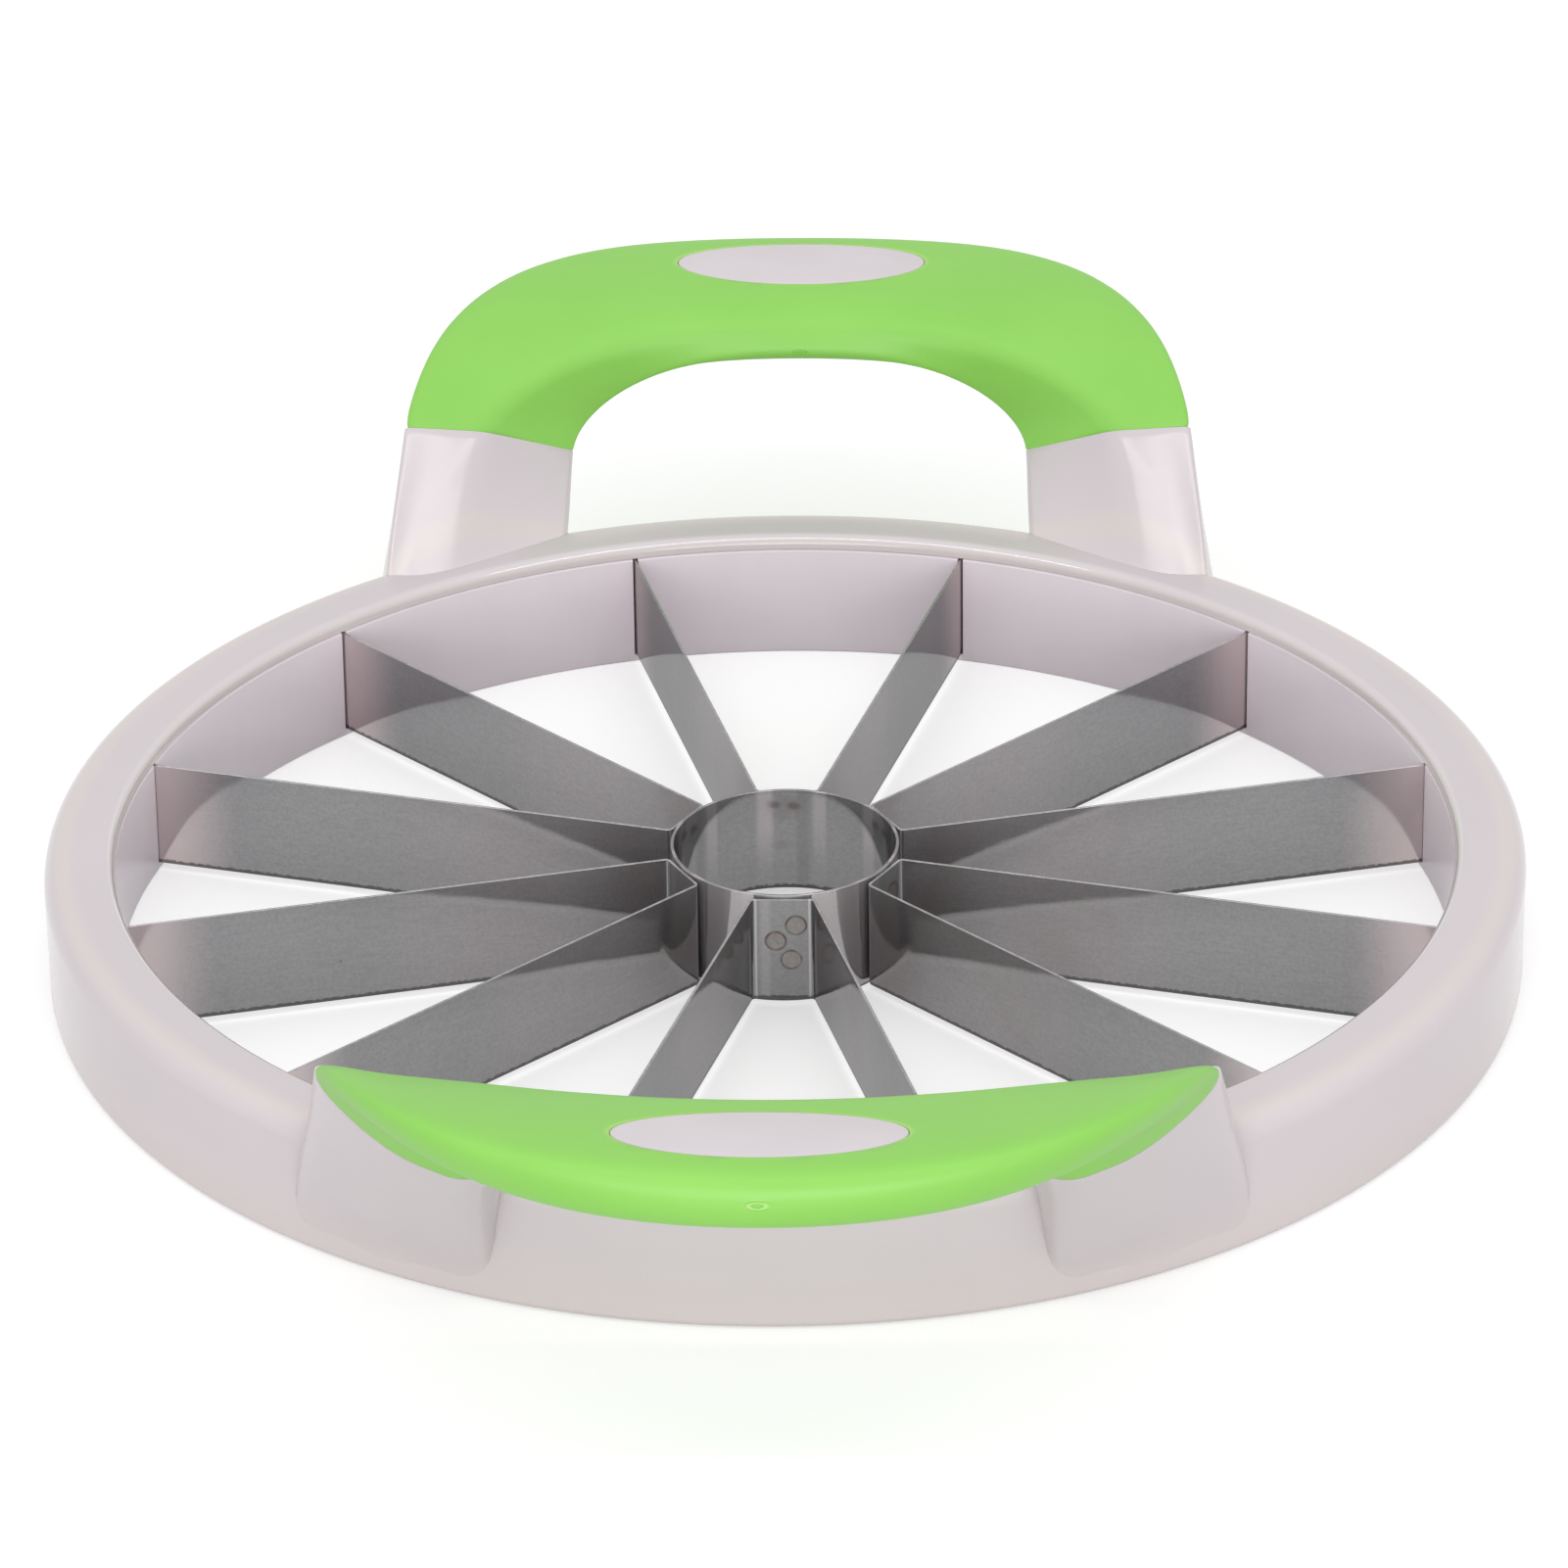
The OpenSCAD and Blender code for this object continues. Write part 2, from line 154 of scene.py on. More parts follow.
class Wire:
    """An output socket of a node tree. Arithmetic on it adds Math nodes to the tree."""

    def __init__(self, socket):
        self.socket = socket

    def add(self, kind, sockets=None, out=0, **settings):
        """Adds a node with its sockets' values or links and its settings, and gives one of its outputs."""
        tree = self.socket.id_data
        node = tree.nodes.new(kind)
        for name, value in settings.items():
            setattr(node, name, value)
        for name, value in (sockets or {}).items():
            if isinstance(value, Wire):
                tree.links.new(value.socket, node.inputs[name])
            else:
                node.inputs[name].default_value = value
        return Wire(node.outputs[out]) if len(node.outputs) else None

    def maths(self, operation, first, second=0.0):
        return self.add("ShaderNodeMath", {0: first, 1: second}, operation=operation)

    def __add__(self, other):
        return self.maths("ADD", self, other)

    def __sub__(self, other):
        return self.maths("SUBTRACT", self, other)

    def __mul__(self, other):
        return self.maths("MULTIPLY", self, other)

    def __truediv__(self, other):
        return self.maths("DIVIDE", self, other)

    def __pow__(self, other):
        return self.maths("POWER", self, other)

    def __rsub__(self, other):
        return self.maths("SUBTRACT", other, self)

    __radd__ = __add__
    __rmul__ = __mul__

    def ramp(self, low, high):
        """0 at low, 1 at high, with a soft start and end."""
        span = {"Value": self, "From Min": low, "From Max": high}
        return self.add("ShaderNodeMapRange", span, interpolation_type="SMOOTHSTEP")

    def spread(self):
        """A noise drawn out to the whole range from 0 to 1."""
        return self.ramp(*NOISE_RANGE)

    def mix(self, first, second):
        """A colour between two, with this wire as the share of the second."""
        return self.add("ShaderNodeMix", {0: self, 6: first, 7: second}, out=2, data_type="RGBA")


# Plain vector helpers

def lerp(a, b, t):
    return a + (b - a) * t


def bezier(p, t):
    u = 1 - t
    return p[0] * u ** 3 + p[1] * (3 * t * u * u) + p[2] * (3 * t * t * u) + p[3] * t ** 3


def arc(centre, radius, start, end, steps):
    """Points (r, z) of an arc in the plane of a section, with its angles in degrees."""
    turns = [radians(lerp(start, end, k / steps)) for k in range(steps + 1)]
    return [(centre[0] + radius * cos(a), centre[1] + radius * sin(a)) for a in turns]


# Making and finishing of meshes, with the distance under which points are joined

MERGE = 1e-7


def make_piece(name, points, faces=(), edges=()):
    mesh = bpy.data.meshes.new(name)
    mesh.from_pydata([tuple(p) for p in points], list(edges), list(faces))
    piece = bpy.data.objects.new(name, mesh)
    bpy.context.scene.collection.objects.link(piece)
    return piece


def settle(piece):
    """Makes a piece's modifiers part of its mesh."""
    bpy.context.view_layer.update()
    shown = piece.evaluated_get(bpy.context.evaluated_depsgraph_get())
    mesh = bpy.data.meshes.new_from_object(shown)
    piece.modifiers.clear()
    piece.data = mesh


def clean(piece, sharp=32):
    """Closes seams, turns the faces outwards, and smooths all edges flatter than sharp."""
    grid = bmesh.new()
    grid.from_mesh(piece.data)
    bmesh.ops.remove_doubles(grid, verts=grid.verts, dist=MERGE)
    bmesh.ops.dissolve_degenerate(grid, edges=grid.edges, dist=MERGE)
    bmesh.ops.recalc_face_normals(grid, faces=grid.faces)
    grid.to_mesh(piece.data)
    grid.free()
    piece.data.shade_smooth()
    piece.data.set_sharp_from_angle(angle=radians(sharp))


def cut(piece, cutter):
    """Cuts a closed piece with a closed cutter, which is then thrown away."""
    change = piece.modifiers.new("cut", "BOOLEAN")
    change.operation = "DIFFERENCE"
    change.solver = "EXACT"
    change.object = cutter
    settle(piece)
    bpy.data.objects.remove(cutter)


def join(piece, *others):
    """Adds the meshes of other pieces to a piece."""
    grid = bmesh.new()
    grid.from_mesh(piece.data)
    for other in others:
        grid.from_mesh(other.data)
        bpy.data.objects.remove(other)
    grid.to_mesh(piece.data)
    grid.free()


def turned(piece, angle):
    piece.data.transform(Matrix.Rotation(angle, 4, "Z"))
    return piece


def lofted(rings, first=0, closed=False):
    """Faces between rings of points that all have the same length."""
    n = len(rings[0])
    spans = len(rings) if closed else len(rings) - 1
    faces = []
    for i in range(spans):
        a = first + i * n
        b = first + (i + 1) % len(rings) * n
        for j in range(n):
            k = (j + 1) % n
            faces.append((a + j, a + k, b + k, b + j))
    return faces


def solid_loft(name, rings):
    """A closed solid through rings of points, with flat ends."""
    n = len(rings[0])
    last = (len(rings) - 1) * n
    ends = [tuple(range(n)), tuple(range(last + n - 1, last - 1, -1))]
    return make_piece(name, [p for ring in rings for p in ring], lofted(rings) + ends)


def tube_loft(name, outer, inner):
    """A closed tube wall between two sets of rings."""
    rings = outer + inner[::-1]
    return make_piece(name, [p for ring in rings for p in ring], lofted(rings, closed=True))


# Geometry Nodes for what follows a path or repeats round the axis

def node_group(name, sizes):
    """A Geometry Nodes tree with the given sizes. Gives the tree, its input wires and its size sockets."""
    tree = bpy.data.node_groups.new(name, "GeometryNodeTree")
    tree.interface.new_socket("Geometry", in_out="OUTPUT", socket_type="NodeSocketGeometry")
    tree.interface.new_socket("Geometry", in_out="INPUT", socket_type="NodeSocketGeometry")
    ids = {}
    for label, kind in sizes.items():
        ids[label] = tree.interface.new_socket(label, in_out="INPUT", socket_type=kind).identifier
    source = tree.nodes.new("NodeGroupInput")
    wires = {socket.name: Wire(socket) for socket in source.outputs if socket.name}
    return tree, wires, ids


def close_group(wires, shape):
    """Ends a tree in Realize Instances and Set Material."""
    whole = shape.add("GeometryNodeRealizeInstances", {"Geometry": shape})
    whole = shape.add("GeometryNodeSetMaterial", {"Geometry": whole, "Material": wires["Material"]})
    shape.add("NodeGroupOutput", {"Geometry": whole})


def swept_section_group():
    """Sweeps the part of a mesh that is no path along the part that is, with rounded bends."""
    sizes = {"Bend radius": "NodeSocketFloat", "Bend points": "NodeSocketInt", "Turn": "NodeSocketFloat",
             "Material": "NodeSocketMaterial"}
    tree, wires, ids = node_group("swept_section", sizes)
    start = wires["Geometry"]
    is_path = start.add("GeometryNodeInputNamedAttribute", {"Name": "path"}, data_type="BOOLEAN")
    parts = {"Geometry": start, "Selection": is_path}
    path = start.add("GeometryNodeSeparateGeometry", parts, domain="POINT")
    outline = Wire(path.socket.node.outputs[1])
    path = start.add("GeometryNodeMeshToCurve", {"Mesh": path})
    outline = start.add("GeometryNodeMeshToCurve", {"Mesh": outline})
    bends = {"Curve": path, "Count": wires["Bend points"], "Radius": wires["Bend radius"]}
    path = start.add("GeometryNodeFilletCurve", bends, mode="POLY")
    path = start.add("GeometryNodeSetCurveNormal", {"Curve": path}, mode="Z_UP")
    section_sweep = {"Curve": path, "Profile Curve": outline, "Fill Caps": True}
    shape = start.add("GeometryNodeCurveToMesh", section_sweep)
    about_z = start.add("ShaderNodeCombineXYZ", {"Z": wires["Turn"]})
    shape = start.add("GeometryNodeTransform", {"Geometry": shape, "Rotation": about_z})
    close_group(wires, shape)
    return tree, ids


def ring_of_copies_group():
    """Repeats a mesh round the axis."""
    sizes = {"Count": "NodeSocketInt", "First turn": "NodeSocketFloat", "Material": "NodeSocketMaterial"}
    tree, wires, ids = node_group("ring_of_copies", sizes)
    start = wires["Geometry"]
    points = start.add("GeometryNodePoints", {"Count": wires["Count"]})
    index = start.add("GeometryNodeInputIndex")
    turn = index * (2 * pi) / wires["Count"] + wires["First turn"]
    about_z = start.add("ShaderNodeCombineXYZ", {"Z": turn})
    placed = {"Points": points, "Instance": start, "Rotation": about_z}
    close_group(wires, start.add("GeometryNodeInstanceOnPoints", placed))
    return tree, ids


SWEPT_SECTION = swept_section_group()
RING_OF_COPIES = ring_of_copies_group()


def apply_group(piece, group, sizes):
    tree, ids = group
    change = piece.modifiers.new(tree.name, "NODES")
    change.node_group = tree
    for label, value in sizes.items():
        change[ids[label]] = value
    settle(piece)


def swept(name, path, outline, material, closed=False, turn=0.0, bend=0.0, bend_points=1):
    """A section swept along a path. The outline's points are (sideways, up) from the path."""
    points = [Vector((p[0], p[1], 0)) for p in path] + [Vector((p[0], -p[1], 0)) for p in outline]
    n = len(path)
    m = len(outline)
    edges = [(i, i + 1) for i in range(n - 1)] + [(n + j, n + (j + 1) % m) for j in range(m)]
    if closed:
        edges.append((n - 1, 0))
    piece = make_piece(name, points, edges=edges)
    is_path = piece.data.attributes.new("path", "BOOLEAN", "POINT")
    is_path.data.foreach_set("value", [i < n for i in range(n + m)])
    apply_group(piece, SWEPT_SECTION, {"Bend radius": bend, "Bend points": bend_points, "Turn": turn,
                                       "Material": material})
    clean(piece)
    return piece


def turned_ring(name, outline, material, sides=RING_SIDES):
    """A ring about the axis from a section of (radius, height) points."""
    path = [(BORE_R * cos(2 * pi * k / sides), BORE_R * sin(2 * pi * k / sides)) for k in range(sides)]
    return swept(name, path, [(r - BORE_R, z) for r, z in outline], material, closed=True)


def copies(piece, count, material, first=0.0):
    apply_group(piece, RING_OF_COPIES, {"Count": count, "First turn": first, "Material": material})


def lathe(name, outline, sides, about=Matrix.Identity(4)):
    """A small solid of revolution from (radius, height) points that start and end on its own axis."""
    rings = []
    for r, z in outline[1:-1]:
        turns = [2 * pi * k / sides for k in range(sides)]
        rings.append([about @ Vector((r * cos(a), r * sin(a), z)) for a in turns])
    points = [p for ring in rings for p in ring]
    tips = [about @ Vector((0, 0, outline[0][1])), about @ Vector((0, 0, outline[-1][1]))]
    faces = lofted(rings)
    last = (len(rings) - 1) * sides
    for j in range(sides):
        k = (j + 1) % sides
        faces.append((j, len(points), k))
        faces.append((last + j, last + k, len(points) + 1))
    return make_piece(name, points + tips, faces)


# Finishes

# Tints of the white mouldings, as linear red, green and blue with alpha
SHELL_TONES = ((0.582, 0.530, 0.552, 1), (0.604, 0.548, 0.572, 1))
SHELL_LOW_PAINTED_LIGHT = (0.632, 0.560, 0.552, 1)
SHELL_EDGE_HIGHLIGHT = (0.640, 0.578, 0.548, 1)
SHELL_LIP_REFLECTION = (0.635, 0.575, 0.552, 1)
SHELL_SPECK = (0.40, 0.35, 0.31, 1)
LINER_LIT_TONES = ((0.728, 0.661, 0.707, 1), (0.770, 0.698, 0.745, 1))
LINER_SPECK = (0.36, 0.31, 0.30, 1)
BADGE_TONES = ((0.602, 0.556, 0.582, 1), (0.628, 0.580, 0.606, 1))
# Tints of the grips
GREEN_TONES = ((0.220, 0.556, 0.071, 1), (0.246, 0.590, 0.085, 1))
GREEN_SPECK = (0.14, 0.30, 0.06, 1)
GREEN_RIM_HIGHLIGHT = (0.46, 0.66, 0.20, 1)
GREEN_GATE = (0.50, 0.74, 0.28, 1)
# Tints and levels of the steel
STEEL_TONES = ((0.254, 0.254, 0.259, 1), (0.313, 0.312, 0.317, 1))
HUBWARD_TONES = ((0.296, 0.280, 0.285, 1), (0.354, 0.336, 0.341, 1))
WELD_TONES = ((0.245, 0.230, 0.222, 1), (0.300, 0.285, 0.274, 1))
SCREW_TONES = ((0.50, 0.50, 0.49, 1), (0.62, 0.615, 0.59, 1))
LINER_REFLECTION = (0.67, 0.575, 0.578, 1)
HUB_DARK_REFLECTION = (0.190, 0.140, 0.136, 1)
STAIN = (0.225, 0.203, 0.198, 1)
STEEL_SPECK = (0.11, 0.085, 0.075, 1)
SCRATCH = (0.40, 0.395, 0.395, 1)
RUST = (0.19, 0.125, 0.10, 1)
WEB_REFLECTION = (0.46, 0.44, 0.44, 1)
BEND_HIGHLIGHT = (0.62, 0.60, 0.60, 1)
BLADE_EDGE_SHADE = (0.075, 0.068, 0.068, 1)
HOOP_REFLECTIONS = ((0.52, 0.465, 0.485, 1), (0.50, 0.465, 0.475, 1))
HOOP_SHADE = (0.17, 0.165, 0.17, 1)
HOOP_OUTSIDE_REFLECTION = (0.56, 0.52, 0.525, 1)
HOOP_EDGE_SHADE = (0.06, 0.055, 0.055, 1)
HOOP_GRIND_REFLECTION = (0.90, 0.89, 0.88, 1)
HEAT_INSIDE = (0.13, 0.085, 0.082, 1)
HEAT_RING = (0.098, 0.052, 0.036, 1)
STEEL_SPECULAR = (0.62, 0.62, 0.62, 1)
STEEL_METALLIC = 0.74
BLADE_CUT_GLINT_LEVEL = 0.40
HOOP_CUT_GLINT_LEVEL = 0.24

# Zones of the shell: the height of its painted warm low light, and the painted highlight on the outer edge,
# the painted reflection on the lip and the lip's crest as steps from the rim, the bore and the top
SHELL_FOOT = 0.016
EDGE_HIGHLIGHT_OUT = (-0.0065, -0.0040, -0.0029, -0.0004)
EDGE_HIGHLIGHT_UP = (-0.005, -0.0025)
LIP_OUT = 0.0014
LIP_UP = 0.001
CREST_OUT = (0.0001, 0.0005, 0.0011, 0.0017)
CREST_UP = (-0.0017, -0.0012, -0.0001, 0.001)
# Zones of the grips: the painted highlight on the rim of the oval in shares of its size and in depth, and
# the gate mark's ring in shares of its size, with the depth that it starts and ends at
OVAL_HIGHLIGHT_RIM = (1.010, 1.055)
OVAL_HIGHLIGHT_DEPTH = 0.004
GATE_RING = (0.55, 0.75, 1.1, 1.35)
GATE_DEPTH = (0.003, 0.002)
# Zones of the blades, as distances from the axis: paler towards the hub, a painted dark reflection near the
# hub, rust, a painted reflection of the liner near the ring, and the web
HUBWARD_OUT = (0.0234, 0.0484, 0.060, 0.085)
HUB_REFLECTION_OUT = (0.0233, 0.0238, 0.026, 0.044)
RUST_OUT = (0.030, 0.060)
LINER_REFLECTION_OUT = (BORE_R - 0.018, BORE_R - 0.001)
WEB_OUT = (0.02300, 0.02315)
# Painted marks behind and on a web, along the hoop from the web's middle: highlights in the bends, a pale
# reflection on the web, and pale reflections and shade on the hoop
BEND_HIGHLIGHT_ACROSS = (0.0048, 0.0050, 0.0052, 0.0055)
WEB_REFLECTION_ACROSS = (-0.0046, -0.0038, -0.0030, -0.0018)
HOOP_REFLECTIONS_ALONG = ((0.0022, 0.0036, 0.0052, 0.0066), (-0.0082, -0.0070, -0.0056, -0.0044))
HOOP_SHADE_ALONG = (-0.0047, -0.0035, -0.0024, -0.0012)
# Heights of the edges: the cut edge with painted glints below the top, painted shade above the blade's foot,
# and painted shade lines above the hoop's ground edge and its outer foot, with their chips
CUT_EDGE = (-0.00016, -0.00008)
BLADE_SHADE_UP = (BLADE_GROUND * 0.75, BLADE_GROUND * 1.1)
HOOP_SHADE_ABOVE = (0.0005, 0.0010)
HOOP_SHADE_BELOW = (0.0004, 0.0007)
BLADE_CHIP = 0.00025
HOOP_CHIPS = (0.0003, 0.0002)
# A depth by which a wall of the hoop is told from what lies behind it
WALL_SKIN = 0.00004
# Share of a speck's radius that is fully dark, and the part of a noise's range that is drawn out
SPECK_CORE = 0.6
NOISE_RANGE = (0.3, 0.7)
FINE_BUMP = 0.0002
SHEET_BUMP = 0.0010


def new_finish(name):
    """A new material, and the wire of the object's own coordinates in it."""
    material = bpy.data.materials.new(name)
    material.use_nodes = True
    material.node_tree.nodes.clear()
    coords = material.node_tree.nodes.new("ShaderNodeTexCoord")
    return material, Wire(coords.outputs["Object"])


def close_finish(where, sockets, height, strength, distance=FINE_BUMP):
    """Ends a material in its shader, with a bump from a wire of heights."""
    hollows = {"Height": height, "Strength": strength, "Distance": distance}
    bump = where.add("ShaderNodeBump", hollows)
    shader = where.add("ShaderNodeBsdfPrincipled", {**sockets, "Normal": bump})
    where.add("ShaderNodeOutputMaterial", {"Surface": shader})


def noise(where, scale, detail=2.0, rough=0.5, stretch=(1, 1, 1), shift=(0, 0, 0)):
    """Noise about the object's coordinates, with scale in patches for each metre."""
    stretched = {"Vector": where, "Scale": stretch, "Location": shift}
    place = where.add("ShaderNodeMapping", stretched)
    sockets = {"Vector": place, "Scale": scale, "Detail": detail, "Roughness": rough}
    return where.add("ShaderNodeTexNoise", sockets)


def specks(where, scale, size, share):
    """Small round spots in a share of the cells, with scale in cells for each metre."""
    near = where.add("ShaderNodeTexVoronoi", {"Vector": where, "Scale": scale})
    colour = Wire(near.socket.node.outputs["Color"])
    pick = where.add("ShaderNodeSeparateColor", {"Color": colour})
    chosen = pick.maths("GREATER_THAN", pick, 1 - share)
    return (1 - near.ramp(size * SPECK_CORE, size)) * chosen


def axes(where):
    """The three coordinates of a place."""
    outputs = where.add("ShaderNodeSeparateXYZ", {"Vector": where}).socket.node.outputs
    return [Wire(outputs[name]) for name in "XYZ"]


def length(a, b):
    return (a * a + b * b) ** 0.5


def up_and_out(where):
    """The height above the floor, and the distance from the axis."""
    x, y, z = axes(where)
    return z, length(x, y)


def turn_about(where):
    """The angle about the axis."""
    x, y = axes(where)[:2]
    return where.maths("ARCTAN2", y, x)


def across_web(where, out):
    """The distance from the middle of the nearest web, along the hoop."""
    turn = (turn_about(where) - pi / 2) / STRIP_STEP
    return (turn - turn.maths("ROUND", turn)) * STRIP_STEP * out


def shifted(base, steps):
    return [base + step for step in steps]


def plateau(wire, start, full, fall, end):
    """0 up to the start, 1 between full and fall, and 0 again from the end, with soft slopes."""
    return wire.ramp(start, full) * (1 - wire.ramp(fall, end))


def shell_white():
    """Glossy moulded plastic: faint flow marks, painted warm light low down, a painted highlight on the
    outer edge and a painted warm reflection on the lip, fine grain and rare specks. The lip's crest is
    polished."""
    material, where = new_finish("shell_white")
    z, out = up_and_out(where)
    colour = noise(where, 22, 3).spread().mix(*SHELL_TONES)
    # Painted light: the wall is lighter and warmer low down.
    low = 1 - z.ramp(0.0, SHELL_FOOT)
    colour = (low * 0.7).mix(colour, SHELL_LOW_PAINTED_LIGHT)
    # A painted highlight: a lighter cream band on the rounding of the outer top edge.
    edge = plateau(out, *shifted(RING_R, EDGE_HIGHLIGHT_OUT)) * z.ramp(*shifted(RING_H, EDGE_HIGHLIGHT_UP))
    colour = (edge * 0.6).mix(colour, SHELL_EDGE_HIGHLIGHT)
    # A painted reflection: a lighter warm tone in the lip's rounding.
    lip = (1 - out.ramp(BORE_R, BORE_R + LIP_OUT)) * z.ramp(LIP_Z - LIP_UP, LIP_Z)
    colour = (lip * 0.6).mix(colour, SHELL_LIP_REFLECTION)
    colour = (specks(where, 130, 0.04, 0.03) * 0.3).mix(colour, SHELL_SPECK)
    crest = plateau(out, *shifted(BORE_R, CREST_OUT)) * plateau(z, *shifted(RING_H, CREST_UP))
    roughness = 0.10 + noise(where, 45, 4) * 0.08
    close_finish(where, {"Base Color": colour, "Roughness": roughness, "IOR": 1.5, "Coat Weight": crest,
                         "Coat IOR": 2.0, "Coat Roughness": 0.06}, noise(where, 420, 2), 0.03)
    return material


def liner_white():
    """Less polished moulding of the same plastic, lilac in its tint and painted lighter than the shell to
    make up for the shade inside the ring, with small pits and bumps.
    """
    material, where = new_finish("liner_white")
    # Painted light: the liner's tones are lighter than the shell's plastic, making up for the shade inside
    # the ring.
    colour = noise(where, 30, 4, 0.6, stretch=(1, 1, 0.4)).spread().mix(*LINER_LIT_TONES)
    colour = (specks(where, 110, 0.05, 0.05) * 0.35).mix(colour, LINER_SPECK)
    height = noise(where, 700, 3) * 0.6 + specks(where, 60, 0.07, 0.06) * 2
    roughness = 0.28 + noise(where, 80, 3) * 0.16
    close_finish(where, {"Base Color": colour, "Roughness": roughness, "IOR": 1.5}, height, 0.08)
    return material


def badge_white():
    """Satin plastic of the ovals."""
    material, where = new_finish("badge_white")
    colour = noise(where, 60, 3).spread().mix(*BADGE_TONES)
    roughness = 0.34 + noise(where, 200, 2) * 0.12
    height = noise(where, 1500, 3)
    close_finish(where, {"Base Color": colour, "Roughness": roughness, "IOR": 1.48}, height, 0.06)
    return material


def grip_green():
    """Soft satin rubber: fine grain, slight mottling, dust specks, a painted highlight on the rim round the
    oval, and a pale ring on the gate mark."""
    material, where = new_finish("grip_green")
    x, y, z = axes(where)
    back = y.maths("ABSOLUTE", y)
    mottle = noise(where, 35, 4, 0.6).spread()
    grain = noise(where, 2400, 2, 0.6)
    colour = (mottle * 0.6 + grain * 0.4).mix(*GREEN_TONES)
    colour = (specks(where, 140, 0.045, 0.03) * 0.5).mix(colour, GREEN_SPECK)
    # A painted highlight: a paler green line on the rim round the oval.
    from_oval = length(x / BADGE_HALF_L, (back - BADGE_Y) / BADGE_HALF_W)
    rim = (1 - from_oval.ramp(*OVAL_HIGHLIGHT_RIM)) * z.ramp(BAR_Z, CROWN_Z - OVAL_HIGHLIGHT_DEPTH)
    colour = (rim * 0.5).mix(colour, GREEN_RIM_HIGHLIGHT)
    from_gate = length(x / GATE_SIZE[0], (z - GATE_Z) / GATE_SIZE[1]) + grain * 0.2
    gate = plateau(from_gate, *GATE_RING) * back.ramp(GRIP_Y - GATE_DEPTH[0], GRIP_Y - GATE_DEPTH[1])
    colour = (gate * 0.45).mix(colour, GREEN_GATE)
    roughness = 0.41 + mottle * 0.06 + grain * 0.08
    close_finish(where, {"Base Color": colour, "Roughness": roughness, "IOR": 1.6}, grain, 0.14)
    return material


def blade_marks(colour, where, z, out, chips):
    """A painted reflection as a paler stripe on a web, painted highlights as bright lines inside its bends,
    and painted shade on the ground edge under a blade.
    """
    across = across_web(where, out)
    on_web = 1 - out.ramp(*WEB_OUT)
    # A painted reflection: a paler stripe across part of the web.
    stripe = plateau(across, *WEB_REFLECTION_ACROSS) * on_web
    colour = (stripe * 0.35).mix(colour, WEB_REFLECTION)
    # Painted highlights: bright lines inside the web's bends.
    line = plateau(across.maths("ABSOLUTE", across), *BEND_HIGHLIGHT_ACROSS) * on_web
    colour = (line * 0.6).mix(colour, BEND_HIGHLIGHT)
    # Painted shade: a dark band on the ground edge under the blade, ragged with the chips.
    ground = 1 - (z + chips * BLADE_CHIP).ramp(*shifted(FLOOR_Z, BLADE_SHADE_UP))
    return (ground * 0.8).mix(colour, BLADE_EDGE_SHADE)


def hoop_marks(colour, where, z, out, chips):
    """Painted reflections as pale bands and painted shade as a dull band down the hoop behind each web, a
    painted pale reflection on the outside, the brown marks of the welds inside, and the edge ground inside,
    painted bright as a reflection of the white floor, with a painted shade line above it and one round the
    outside."""
    across = across_web(where, out)
    high = z.ramp(HOOP_LOW, HOOP_TOP) * (0.35 + noise(where, 90, 3) * 0.6)
    # Painted reflections: pale bands down the hoop behind each web, stronger higher up.
    for along, share, tint in zip(HOOP_REFLECTIONS_ALONG, (1.0, 0.8), HOOP_REFLECTIONS):
        colour = (plateau(across, *along) * high * share).mix(colour, tint)
    # Painted shade: a dull dark band down the hoop behind each web.
    colour = (plateau(across, *HOOP_SHADE_ALONG) * 0.35).mix(colour, HOOP_SHADE)
    outside = out.ramp(CORE_R - WALL_SKIN * 2, CORE_R - WALL_SKIN)
    # A painted reflection: a paler pinkish tone on the outside of the hoop.
    colour = (outside * 0.6).mix(colour, HOOP_OUTSIDE_REFLECTION)
    uneven = noise(where, 420, 4, 0.6)
    for place, lift, size, share in HEAT_MARKS:
        near = length(across - place, (z - WEB_Z - lift) * 1.3) / size + uneven * 0.9
        burnt = (1 - near.ramp(0.7, 1.5)) * (1 - outside)
        colour = (burnt * share).mix(colour, HEAT_INSIDE)
    inner_r = CORE_R - CORE_T
    ground = HOOP_LOW + HOOP_GROUND
    off_wall = out.ramp(inner_r + WALL_SKIN * 0.5, inner_r + WALL_SKIN * 1.5)
    # A painted reflection: the edge ground inside is far paler than the steel, so that it mirrors the floor
    # as white.
    bright = off_wall * (1 - z.ramp(ground - WALL_SKIN, ground)) * (1 - outside)
    colour = bright.mix(colour, HOOP_GRIND_REFLECTION)
    # Painted shade: dark lines above the ground edge inside and above the foot outside.
    above = (1 - off_wall) * (1 - (z + chips * HOOP_CHIPS[0]).ramp(*shifted(ground, HOOP_SHADE_ABOVE)))
    below = outside * (1 - (z + chips * HOOP_CHIPS[1]).ramp(*shifted(HOOP_LOW, HOOP_SHADE_BELOW)))
    return ((above + below) * 0.85).mix(colour, HOOP_EDGE_SHADE)


